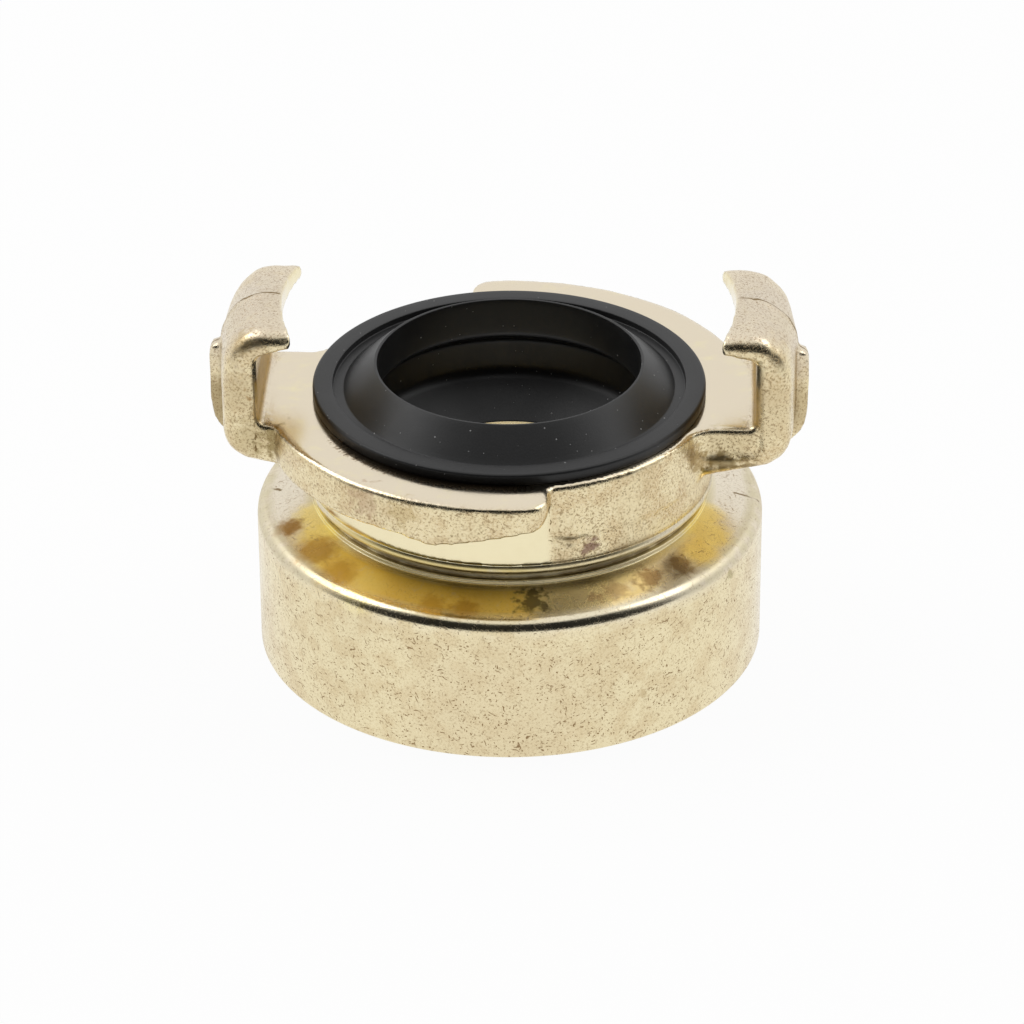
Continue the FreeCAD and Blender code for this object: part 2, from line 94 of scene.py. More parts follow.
def rounded_outline(corners: list[Place], steps: int = 6) -> np.ndarray:
    """Replace each corner of an open outline with an arc that is tangent to both of its sides.

    An arc of radius r in a corner whose sides part at the angle 2a starts r / tan(a) from the
    corner, and its centre lies r / sin(a) from the corner on the line that halves the angle.

    Args:
        corners: Radius, height and rounding radius of each corner, in millimetres.
        steps: Number of straight stretches on one arc.

    Returns:
        The outline's points as an array of radius and height, in millimetres.
    """
    points = np.array([corner[:2] for corner in corners], float)
    pieces = [points[:1]]
    radii = [corner[2] for corner in corners[1:]]
    for before, corner, after, radius in zip(points, points[1:], points[2:], radii):
        if radius <= 0:
            pieces.append(corner[None])
            continue
        back = (before - corner) / np.linalg.norm(before - corner)
        ahead = (after - corner) / np.linalg.norm(after - corner)
        half = math.acos(np.clip(back @ ahead, -1, 1)) / 2
        middle = (back + ahead) / np.linalg.norm(back + ahead)
        centre = corner + middle * radius / math.sin(half)
        start = corner + back * radius / math.tan(half) - centre
        sweep = math.pi - 2 * half
        turn = np.sign(back[0] * ahead[1] - back[1] * ahead[0])
        angles = -turn * np.linspace(0, sweep, steps + 1)
        turned = np.stack([
            start[0] * np.cos(angles) - start[1] * np.sin(angles),
            start[0] * np.sin(angles) + start[1] * np.cos(angles),
        ], axis=1)
        pieces.append(centre + turned)
    pieces.append(points[-1:])
    return np.concatenate(pieces)


def refined(outline: np.ndarray, longest: float) -> np.ndarray:
    """Divide the sides of an outline so that none is longer than a given length.

    Args:
        outline: Points of radius and height.
        longest: Greatest length of a side, in the outline's unit.

    Returns:
        The outline with more points on its long sides.
    """
    lengths = np.linalg.norm(np.diff(outline, axis=0), axis=1)
    parts = np.maximum(1, np.ceil(lengths / longest).astype(int))
    side = np.repeat(np.arange(len(parts)), parts)
    within = np.arange(len(side)) - np.repeat(np.cumsum(parts) - parts, parts)
    share = (within / parts[side])[:, None]
    return np.concatenate([outline[side] * (1 - share) + outline[side + 1] * share, outline[-1:]])


def turned_grid(radii: np.ndarray, heights: np.ndarray, columns: int) -> np.ndarray:
    """Carry an outline round the axis: a point at angle a is (r cos a, r sin a, z).

    Args:
        radii: Radius of each row, or of each row and column.
        heights: Height of each row.
        columns: Number of points round the axis.

    Returns:
        Points as an array of rows, columns and x, y, z.
    """
    angles = np.linspace(0, 2 * math.pi, columns, endpoint=False)
    radius = np.broadcast_to(radii.reshape(len(radii), -1), (len(radii), columns))
    height = np.broadcast_to(heights[:, None], radius.shape)
    return np.stack([radius * np.cos(angles), radius * np.sin(angles), height], axis=2)


def grid_faces(rows: int, columns: int, closed: bool) -> np.ndarray:
    """Quads of a grid that runs round the axis, with outward sides for an outline that runs down outside.

    Args:
        rows: Number of rows.
        columns: Number of points in a row.
        closed: Whether the last row joins the first.

    Returns:
        Four point numbers for each quad.
    """
    row = np.arange(rows if closed else rows - 1)[:, None]
    column = np.arange(columns)[None, :]
    here, below = row * columns, (row + 1) % rows * columns
    beside = (column + 1) % columns
    return np.stack([here + column, below + column, below + beside, here + beside], axis=2).reshape(-1, 4)


def stitch(upper: np.ndarray, lower: np.ndarray, points: np.ndarray) -> np.ndarray:
    """Join two rings of points round the axis with one band of triangles.

    Both rings are passed once in the order of their angles. Each point that is met makes a triangle
    with the point before it on its own ring and the last point that was met on the other ring.

    Args:
        upper: Point numbers of the ring that lies first along the surface.
        lower: Point numbers of the ring that lies next along the surface.
        points: All points.

    Returns:
        Three point numbers for each triangle, with the sides of grid_faces.
    """
    angle = np.arctan2(points[:, 1], points[:, 0])
    first, second = (ring[np.argsort(angle[ring])] for ring in (upper, lower))
    order = np.argsort(np.concatenate([angle[first], angle[second]]), kind="stable")
    from_first = order < len(first)
    at_first = np.cumsum(from_first) - 1
    at_second = np.cumsum(~from_first) - 1
    on_first = np.stack([first[at_first - 1], second[at_second], first[at_first]], axis=1)
    on_second = np.stack([first[at_first], second[at_second - 1], second[at_second]], axis=1)
    return np.where(from_first[:, None], on_first, on_second)


def smoothed(points: np.ndarray, edges: np.ndarray, rounds: int) -> np.ndarray:
    """Soften a net: in each round every point goes halfway to the middle of its neighbours.

    Args:
        points: Points of the net, or one value of each point in a single column.
        edges: Two point numbers for each edge.
        rounds: Number of rounds.

    Returns:
        The moved points.
    """
    ends = np.concatenate([edges, edges[:, ::-1]])
    count = np.bincount(ends[:, 0], minlength=len(points))[:, None]
    for _ in range(rounds):
        total = [np.bincount(ends[:, 0], column[ends[:, 1]], len(points)) for column in points.T]
        points = (points + np.stack(total, axis=1) / count) / 2
    return points


def waves(points: np.ndarray, length: float, seed: int) -> np.ndarray:
    """Soft random waves: the sum of twelve sine waves with random directions, lengths and phases.

    Args:
        points: Points at which the waves are wanted.
        length: Middle length of the waves, in the unit of the points.
        seed: Start of the random draw.

    Returns:
        The height of the waves at each point, mostly from -1 to 1.
    """
    random = np.random.default_rng(seed)
    directions = random.normal(size=(12, 3))
    directions /= np.linalg.norm(directions, axis=1, keepdims=True)
    turns = directions * 2 * math.pi / (length * random.uniform(0.7, 1.4, (12, 1)))
    return np.sin(points @ turns.T + random.uniform(0, 2 * math.pi, 12)).sum(axis=1) / 4


def ramp(value: np.ndarray, low: float, high: float) -> np.ndarray:
    """A smooth step from 0 at low to 1 at high: three times the share squared less twice its cube."""
    share = np.clip((value - low) / (high - low), 0, 1)
    return share * share * (3 - 2 * share)


def point_normals(points: np.ndarray, triangles: np.ndarray) -> np.ndarray:
    """Normals of the points: the sum of the normals of the triangles round each, by their areas.

    Args:
        points: Points of a net.
        triangles: Its triangles.

    Returns:
        A vector of length 1 for each point.
    """
    corners = points[triangles]
    normals = np.cross(corners[:, 1] - corners[:, 0], corners[:, 2] - corners[:, 0])
    total = np.stack([
        np.bincount(triangles.ravel(), np.repeat(normals[:, axis], 3), len(points)) for axis in range(3)
    ], axis=1)
    return total / np.maximum(np.linalg.norm(total, axis=1, keepdims=True), 1e-12)


def read_values(
    items: bpy.types.bpy_prop_collection, name: str, width: int, kind: type = float,
) -> np.ndarray:
    """Read one property of a mesh's items.

    Args:
        items: The mesh's points, edges or faces.
        name: Name of the property.
        width: Number of values in one item.
        kind: Type of the values.

    Returns:
        The values, one row for each item.
    """
    values = np.empty(len(items) * width, kind)
    items.foreach_get(name, values)
    return values.reshape(-1, width)


def make_mesh(name: str, points: np.ndarray, groups: list[np.ndarray]) -> bpy.types.Object:
    """Make a smooth object from points and groups of faces.

    Args:
        name: Name of the object.
        points: Points in metres.
        groups: Arrays of faces.

    Returns:
        The object, linked to the scene.
    """
    mesh = bpy.data.meshes.new(name)
    faces = [face for group in groups for face in group.tolist()]
    mesh.from_pydata(points.tolist(), [], faces)
    mesh.polygons.foreach_set("use_smooth", np.ones(len(faces), bool))
    mesh.validate()
    mesh.update()
    piece = bpy.data.objects.new(name, mesh)
    bpy.context.scene.collection.objects.link(piece)
    return piece


@dataclass(frozen=True)
class Mark:
    """A dent or a ridge along a straight line on the forging. Sizes are millimetres."""

    start: Place
    end: Place
    width: float
    height: float

    def rise(self, points: np.ndarray) -> np.ndarray:
        """Height of the mark, which falls off as a bell with the distance from the line.

        Args:
            points: Points in millimetres.

        Returns:
            The height at each point.
        """
        start, end = np.array(self.start), np.array(self.end)
        along = end - start
        share = np.clip((points - start) @ along / (along @ along), 0, 1)
        away = np.linalg.norm(points - start - share[:, None] * along, axis=1)
        return self.height * np.exp(-((away / self.width) ** 2))


@dataclass
class BrassBody:
    """Forged brass body: the claws, arms and wings of the solid, with the turned surfaces made anew.

    Sizes are millimetres. The turned surfaces run from the foot of the neck down the outside, under
    the cup and up through its thread to the recess of the seal.
    """

    neck_radius: float = 19.3
    neck_foot: float = 17.8
    cove_radius: float = 18.35
    cove_land: float = 0.5
    foot_radius: float = 18.9
    foot_height: float = 15.7
    foot_ring: float = 0.4
    cup_radius: float = 24.1
    cup_height: float = 14.35
    shoulder_round: float = 1.3
    base_chamfer: float = 0.4
    mouth_radius: float = 21.246
    mouth_depth: float = 1.2
    bore_radius: float = 19.476
    thread_depth: float = 1.479
    thread_pitch: float = 2.309
    relief_radius: float = 21.105
    relief_start: float = 9.6
    floor_height: float = 12.2
    passage_radius: float = 11.5
    ledge_height: float = 17.3
    undercut_radius: float = 16.1
    face_height: float = 26.0
    columns: int = 256
    longest_side: float = 0.9
    tolerance: float = 0.002
    net_size: float = 0.3
    soft_rounds: int = 3
    corner_rounds: int = 22
    swell: float = 0.035
    swell_length: float = 4.0
    hammer: float = 0.012
    hammer_length: float = 1.3
    seeds: tuple[int, int, int] = (3, 5, 7)
    scale_step: float = 0.08
    seam_height: float = 0.10
    fin_top: float = 30.6
    seam_width: float = 0.3
    seam_sways: tuple[Pair, ...] = ((0.12, 1.7), (0.08, 2.3))
    seam_unevenness: float = 0.4
    seam_length: float = 2.0
    neck_top: Pair = (20.2, 20.6)
    claw_inside: float = 23.2
    lip_radius: float = 21.2
    lip_bottom: float = 30.0
    skirt_end: float = 4.4
    arm_corner: Pair = (4.5, 6.0)
    hollow_bend: Pair = (0.04, 0.2)
    edge_bend: Pair = (0.05, 0.25)
    cove_reach: float = 0.4
    wall_share: float = 0.6
    shoulder_share: float = 0.35
    shoulder_edge: Pair = (13.0, 13.5)
    shoulder_face: Pair = (13.2, 13.8)
    rim_start: float = 1.8
    rim_full: float = 1.1
    bore_play: float = 0.12
    # The dark ring in front of the seal is partly soiling and partly a painted reflection and shadow of the
    # seal.
    soot_and_reflection_radius: float = 20.3
    soot_and_reflection_width: float = 1.7
    soot_and_reflection_sector: tuple[float, ...] = (-155, -135, -78, -90)
    # The golden tone under the wings is a painted reflection of the brass neck and wing in the shoulder.
    golden_reflection_sector: tuple[float, ...] = (-152, -140, -40, -55)
    golden_reflection_fades: Pair = (-88, -76)
    golden_reflection_fade: float = 0.55
    worn_sector: tuple[float, ...] = (-146, -132, -38, -52)
    marks: tuple[Mark, ...] = (
        Mark((-23.5, -7.8, 27.9), (-23.5, -7.8, 23.0), 0.35, -0.12),
        Mark((18.2, -7.8, 23.4), (21.0, -7.8, 23.1), 0.35, -0.12),
        Mark((21.0, -7.8, 23.1), (23.6, -7.8, 23.3), 0.3, -0.10),
        Mark((4.5, -18.8, 20.6), (6.2, -18.3, 19.9), 0.35, -0.10),
        Mark((6.2, -18.3, 19.9), (7.6, -17.7, 20.1), 0.3, -0.10),
        Mark((-11.5, -19.9, 24.0), (-12.0, -19.6, 22.1), 0.3, -0.10),
        Mark((-10.0, -20.7, 22.9), (-9.6, -20.9, 22.7), 0.35, -0.12),
    )

    def outline_outside(self) -> np.ndarray:
        """The turned outline from the foot of the neck down to the cup's bottom face.

        Returns:
            Points of radius and height.
        """
        ring_top = self.foot_height + self.foot_ring
        land_top = ring_top + self.cove_land
        corners = [
            (self.neck_radius, self.neck_foot, 0),
            (self.neck_radius, self.neck_foot - 0.6, 0.15),
            (self.cove_radius, land_top, 0.2),
            (self.cove_radius, ring_top, 0.1),
            (self.foot_radius, ring_top, 0.12),
            (self.foot_radius, self.foot_height, 0.1),
            (self.cup_radius, self.cup_height, self.shoulder_round),
            (self.cup_radius, 0, self.base_chamfer),
            (self.mouth_radius, 0, 0),
        ]
        outline = rounded_outline(corners)
        outline[0, 1] -= 0.05
        return refined(outline, self.longest_side)

    def outline_thread(self) -> np.ndarray:
        """The threaded wall as points of radius and height, twelve to a turn of the thread."""
        heights = np.linspace(0, self.relief_start, int(self.relief_start / self.thread_pitch * 12) + 1)[1:]
        return np.stack([np.full(len(heights), self.bore_radius), heights], axis=1)

    def outline_inside(self) -> np.ndarray:
        """The turned outline from the run-out groove up to the mouth of the seal's recess.

        Returns:
            Points of radius and height.
        """
        corners = [
            (self.relief_radius, self.relief_start, 0),
            (self.relief_radius, self.floor_height, 0.3),
            (self.passage_radius, self.floor_height, 0.3),
            (self.passage_radius, self.ledge_height, 0.2),
            (self.undercut_radius, self.ledge_height, 0),
            (self.undercut_radius, self.neck_foot - 0.1, 0),
        ]
        return refined(rounded_outline(corners), self.longest_side * 2)

    def thread_radius_at(self, angle: np.ndarray, height: np.ndarray) -> np.ndarray:
        """Radius of the cup's inner wall with its pipe thread.

        The groove is a wave along the helix: its phase is the height in pitches less the angle in
        turns, and its depth goes as a cosine pressed towards a 55 degree flank. The wall is the
        larger of that groove and the chamfer at the mouth.

        Args:
            angle: Angle round the axis.
            height: Height above the cup's bottom face.

        Returns:
            The radius, in the unit of the sizes.
        """
        phase = height / self.thread_pitch - angle / (2 * math.pi)
        wave = 2 * np.abs(phase - np.floor(phase) - 0.5)
        groove = self.bore_radius + self.thread_depth * np.clip(1.16 * wave - 0.08, 0, 1)
        slope = (self.mouth_radius - self.bore_radius) / self.mouth_depth
        return np.maximum(groove, self.mouth_radius - slope * height)

    def turned_part(self) -> tuple[np.ndarray, np.ndarray]:
        """Carry the three outlines round the axis.

        Returns:
            Points of the turned surfaces in millimetres and their quads.
        """
        outside, thread, inside = self.outline_outside(), self.outline_thread(), self.outline_inside()
        outline = np.concatenate([outside, thread, inside])
        radii = np.repeat(outline[:, :1], self.columns, axis=1)
        angles = np.linspace(0, 2 * math.pi, self.columns, endpoint=False)[None, :]
        rows = slice(len(outside), len(outside) + len(thread))
        radii[rows] = self.thread_radius_at(angles, thread[:, 1:])
        points = turned_grid(radii, outline[:, 1], self.columns)
        quads = grid_faces(len(outline), self.columns, closed=False)
        return points.reshape(-1, 3), quads

    def even_net(self, source: bpy.types.Object) -> bpy.types.Mesh:
        """Remesh a merged copy of the solid with small even faces, in millimetres.

        Args:
            source: The brass body's node.

        Returns:
            The new mesh.
        """
        mesh = source.data
        mesh.calc_loop_triangles()
        points = read_values(mesh.vertices, "co", 3) / MM
        triangles = read_values(mesh.loop_triangles, "vertices", 3, np.int64)
        _, first, merged = np.unique(np.round(points, 3), axis=0, return_index=True, return_inverse=True)
        triangles = merged.reshape(-1)[triangles]
        copy = make_mesh("merged_copy", points[first], [triangles])
        remesh = copy.modifiers.new("even_net", "REMESH")
        remesh.mode = "VOXEL"
        remesh.voxel_size = self.net_size
        ready = copy.evaluated_get(bpy.context.evaluated_depsgraph_get())
        net = bpy.data.meshes.new_from_object(ready)
        bpy.data.objects.remove(copy)
        return net

    def forged_part(self, source: bpy.types.Object) -> tuple[np.ndarray, np.ndarray]:
        """The forged surfaces with softened edges, cut off level above the foot of the neck.

        The outer upright corners of the arms are softened more than the other edges.

        Args:
            source: The brass body's node.

        Returns:
            Points in millimetres and triangles.
        """
        net = self.even_net(source)
        edges = read_values(net.edges, "vertices", 2, np.int64)
        points = smoothed(read_values(net.vertices, "co", 3), edges, self.soft_rounds)
        rounder = smoothed(points, edges, self.corner_rounds)
        x, y = np.abs(points[:, 0]), np.abs(points[:, 1])
        on_corner = ramp(x, self.claw_inside + 0.8, self.claw_inside + 2) * ramp(y, *self.arm_corner)
        points += (rounder - points) * on_corner[:, None]
        net.vertices.foreach_set("co", points.ravel())
        shape = bmesh.new()
        shape.from_mesh(net)
        parts = list(shape.verts) + list(shape.edges) + list(shape.faces)
        bmesh.ops.bisect_plane(shape, geom=parts, dist=0.0001, plane_co=(0, 0, self.neck_foot),
                               plane_no=(0, 0, 1), clear_inner=True)
        bmesh.ops.triangulate(shape, faces=shape.faces)
        shape.to_mesh(net)
        shape.free()
        points = read_values(net.vertices, "co", 3)
        triangles = read_values(net.polygons, "vertices", 3, np.int64)
        bpy.data.meshes.remove(net)
        return points, triangles

    def hand_forged(self, points: np.ndarray, triangles: np.ndarray) -> np.ndarray:
        """Move the forging's points in and out: soft swells, fine unevenness, the parting seam and marks.

        The faced top, the bored surfaces and the cut above the foot of the neck keep their shape.

        Args:
            points: Points in millimetres.
            triangles: Their triangles.

        Returns:
            The moved points.
        """
        normals = point_normals(points, triangles)
        x, y, z = points.T
        swell_seed, hammer_seed, seam_seed = self.seeds
        rise = self.swell * waves(points, self.swell_length, swell_seed)
        rise += self.hammer * waves(points, self.hammer_length, hammer_seed)
        outward = normals[:, 0] * np.sign(x) + np.maximum(normals[:, 2], 0)
        (side, side_turn), (rise_sway, rise_turn) = self.seam_sways
        off = y - side * np.sin(x * side_turn) - rise_sway * np.sin(z * rise_turn)
        on_claw = ramp(np.abs(x), self.lip_radius - 0.6, self.lip_radius + 0.4) * ramp(outward, 0.3, 0.7)
        seam = self.seam_height * np.exp(-((off / self.seam_width) ** 2)) * on_claw
        seam *= ramp(z, self.fin_top, self.fin_top + 1)
        seam *= 1 + self.seam_unevenness * waves(points, self.seam_length, seam_seed)
        on_neck = ramp(np.hypot(x, y), self.neck_radius + 0.5, self.neck_radius + 0.2)
        on_neck *= ramp(z, *self.neck_top)
        rise = (rise + seam + self.scale_step * on_neck) * (1 - self.turned_share(points))
        rise *= ramp(z, self.neck_foot + 0.1, self.neck_foot + 1)
        for mark in self.marks:
            rise += mark.rise(points)
        moved = points + normals * rise[:, None]
        return np.clip(moved, *(np.array(corner) / MM for corner in CAD_BOX))

    def turned_share(self, points: np.ndarray) -> np.ndarray:
        """How far the points lie on a turned surface: the faced top, the recess, the lips' bore and the
        part of the neck under each wing, which ends at an upright line beside the wing's tip.

        Args:
            points: Points in millimetres.

        Returns:
            A share from 0, forged, to 1, turned.
        """
        x, y, z = points.T
        radius = np.hypot(x, y)
        side = -np.sign(y) * x
        above = z - self.face_height
        top = (above > -self.bore_play) & (above < 0.3) & (radius < self.claw_inside - 0.2)
        recess = radius < self.undercut_radius + 0.3
        bored = (z > self.lip_bottom) & (radius < self.lip_radius + self.bore_play)
        skirt = (radius < self.neck_radius + self.bore_play) & (above < -1.5) & (side < self.skirt_end)
        return (top | recess | bored | skirt).astype(float)

    def dress(self, body: bpy.types.Object, forging: int) -> None:
        """Give the mesh its shares of forging, hollows and edges as attributes of its points.

        A hollow or an edge is where the middle of a point's neighbours lies above or below its surface.
        On the turned surfaces the hollow is the cove's corner, and the edge is the shoulder's rounding.

        Args:
            body: The brass body.
            forging: Number of points on the forging, which come first.
        """
        mesh = body.data
        points = read_values(mesh.vertices, "co", 3) / MM
        normals = read_values(mesh.vertex_normals, "vector", 3)
        edges = read_values(mesh.edges, "vertices", 2, np.int64)
        bend = ((smoothed(points, edges, 1) - points) * normals).sum(axis=1, keepdims=True)
        bend = smoothed(2 * bend / self.net_size, edges, 2)[:, 0]
        radius, height = np.hypot(points[:, 0], points[:, 1]), points[:, 2]
        near = np.hypot(radius - self.cove_radius, height - self.foot_height - self.foot_ring)
        cove = np.exp(-((near / self.cove_reach) ** 2))
        is_forging = np.arange(len(points)) < forging
        hollow = np.where(is_forging, ramp(bend, *self.hollow_bend), cove)
        # The shoulder's rounding takes the lighter edge tone: partly wear, partly a painted highlight.
        rounding = ramp(radius, self.cup_radius - 1.3, self.cup_radius - 0.9)
        rounding *= ramp(height, *self.shoulder_edge)
        edge = np.where(is_forging, ramp(-bend, *self.edge_bend), rounding)
        wall = ramp(radius, self.cup_radius - 0.4, self.cup_radius - 0.1) * ramp(height, 0, 0.3)
        shoulder = ramp(radius, self.foot_radius, self.foot_radius + 0.5) * (height > self.mouth_depth)
        rough = np.maximum(self.wall_share * wall, self.shoulder_share * shoulder)
        forged = np.where(is_forging, 1 - self.turned_share(points), rough)
        forged = smoothed(forged[:, None], edges, 2)[:, 0]
        values = {"forged": forged, "hollow": hollow, "edge": edge}
        values.update(self.regions(points, normals, is_forging))
        for name in REGIONS:
            attribute = mesh.attributes.new(name, "FLOAT", "POINT")
            attribute.data.foreach_set("value", values[name].astype(np.float32))

    def regions(
        self, points: np.ndarray, normals: np.ndarray, is_forging: np.ndarray,
    ) -> dict[str, np.ndarray]:
        """Shares of the parts of the body that have their own tone or a painted reflection, the same after
        half a turn.

        The part of the shoulder under a wing has a painted golden reflection, the rest of it is pale, and
        its edge beside the claws is worn. The foot of the neck is dull and the inner faces of the slots are
        brown. In front of the seal only lies a dark ring, partly soiling and partly a painted reflection and
        shadow of the
        seal. A sector is four angles: it rises between the first two and falls between the others.

        Args:
            points: Points in millimetres.
            normals: Their normals.
            is_forging: Whether each point is on the forging.

        Returns:
            The share of each region at each point.
        """
        x, y, z = points.T
        radius = np.hypot(x, y)
        turn = np.degrees(np.arctan2(-np.abs(y), -x * np.sign(y)))

        def sector(ends: tuple[float, ...]) -> np.ndarray:
            """Share of a sector at each point."""
            return ramp(turn, *ends[:2]) * ramp(turn, *ends[2:])

        above = z - self.face_height
        outward = normals[:, 0] * np.sign(x) + np.maximum(normals[:, 2], 0)
        shoulder = ramp(radius, self.foot_radius + 0.1, self.foot_radius + 0.5) * ~is_forging
        shoulder *= ramp(z, *self.shoulder_face)
        rim = ramp(radius, self.cup_radius - self.rim_start, self.cup_radius - self.rim_full)
        # Painted golden reflection on the shoulder under each wing.
        golden = sector(self.golden_reflection_sector) * (1 - self.golden_reflection_fade * ramp(turn, *self.golden_reflection_fades))
        seam = ramp(np.abs(x), self.lip_radius - 0.6, self.lip_radius + 0.2) * ramp(outward, 0.3, 0.6)
        seam *= ramp(above, 1, 2) * is_forging
        foot = (radius < self.neck_radius + 0.1) & (z > self.foot_height - 0.1) & (z < self.neck_foot)
        # Dark ring in front of the seal only: partly soiling, partly a painted reflection and shadow of the
        # seal.
        soot_and_reflection = ramp(radius, self.soot_and_reflection_radius, self.soot_and_reflection_radius - self.soot_and_reflection_width) * sector(self.soot_and_reflection_sector)
        soot_and_reflection *= (np.abs(above) < 0.3) & (radius > self.undercut_radius) & (y < 0)
        # Inner faces of the claws' slots, which are painted brown.
        slot = ramp(-normals[:, 0] * np.sign(x), 0.5, 0.8) * (np.abs(x) > self.claw_inside - 0.8)
        slot *= ramp(above, -0.1, 0.3) * ramp(z, self.lip_bottom + 1, self.lip_bottom)
        return {
            "golden_reflection": shoulder * (1 - rim) * golden, "pale": shoulder * (1 - golden),
            "worn": shoulder * rim * (1 - sector(self.worn_sector)), "seam": seam,
            "dull": foot & ~is_forging, "soot_and_reflection": soot_and_reflection, "slot": slot,
        }

    def rings(self, points: np.ndarray) -> tuple[np.ndarray, np.ndarray]:
        """Find the two rings of points on the cut at the foot of the neck.

        Args:
            points: Points of the forging in millimetres.

        Returns:
            Numbers of the points on the outer and on the inner ring.
        """
        level = np.abs(points[:, 2] - self.neck_foot) < self.tolerance
        outer = np.hypot(points[:, 0], points[:, 1]) > (self.neck_radius + self.undercut_radius) / 2
        return np.flatnonzero(level & outer), np.flatnonzero(level & ~outer)

    def build(self, source: bpy.types.Object) -> bpy.types.Object:
        """Join the forged and the turned surfaces to one closed mesh.

        Args:
            source: The brass body's node.

        Returns:
            The brass body.
        """
        forged, triangles = self.forged_part(source)
        outer_ring, inner_ring = self.rings(forged)
        forged = self.hand_forged(forged, triangles)
        turned, quads = self.turned_part()
        points = np.concatenate([forged, turned])
        first_row = len(forged) + np.arange(self.columns)
        last_row = len(points) - self.columns + np.arange(self.columns)
        neck_band = stitch(outer_ring, first_row, points)
        recess_band = stitch(last_row, inner_ring, points)
        groups = [triangles, quads + len(forged), neck_band, recess_band]
        body = make_mesh("brass_body", points * MM, groups)
        self.dress(body, len(forged))
        return body


@dataclass
class FormSeal:
    """Black rubber form seal as one closed turned surface. Sizes are millimetres."""

    face_height: float = 26.0
    disc_radius: float = 18.55
    disc_thickness: float = 1.05
    rim_radius: float = 16.65
    ledge_height: float = 26.4
    ledge_radius: float = 15.65
    lip_radius: float = 12.45
    lip_land: float = 0.25
    lip_top: float = 29.1
    lip_bottom: float = 25.1
    cavity_radius: float = 14.2
    cavity_top: float = 23.9
    cavity_bottom: float = 20.35
    hole_radius: float = 9.5
    hole_top: float = 17.45
    bottom: float = 17.3
    bead_radius: float = 15.98
    bead_top: float = 20.18
    sleeve_radius: float = 15.08
    sleeve_foot: float = 20.78
    columns: int = 320
    longest_side: float = 0.6

    def build(self) -> bpy.types.Object:
        """Carry the seal's closed outline round the axis, from the disc's rim down and back up inside.

        Returns:
            The seal.
        """
        disc_top = self.face_height + self.disc_thickness
        corners = [
            (self.disc_radius, self.face_height + self.disc_thickness / 2, 0),
            (self.disc_radius, self.face_height, 0.1),
            (self.sleeve_radius, self.face_height, 0),
            (self.sleeve_radius, self.sleeve_foot, 0),
            (self.bead_radius, self.bead_top, 0),
            (self.bead_radius, self.bottom, 0.2),
            (self.hole_radius, self.bottom, 0.1),
            (self.hole_radius, self.hole_top, 0.1),
            (self.cavity_radius, self.cavity_bottom, 1.5),
            (self.cavity_radius, self.cavity_top, 0.8),
            (self.lip_radius, self.lip_bottom, 1.0),
            (self.lip_radius, self.lip_top, 0.1),
            (self.lip_radius + self.lip_land, self.lip_top, 0.1),
            (self.ledge_radius, self.ledge_height, 0.25),
            (self.rim_radius, self.ledge_height, 0.1),
            (self.rim_radius, disc_top, 0.1),
            (self.disc_radius, disc_top, 0.3),
            (self.disc_radius, self.face_height + self.disc_thickness / 2, 0),
        ]
        outline = refined(rounded_outline(corners), self.longest_side)[:-1]
        points = turned_grid(outline[:, 0], outline[:, 1], self.columns)
        faces = grid_faces(len(outline), self.columns, closed=True)
        seal = make_mesh("form_seal", points.reshape(-1, 3) * MM, [faces])
        seal.data.set_sharp_from_angle(angle=math.radians(50))
        return seal


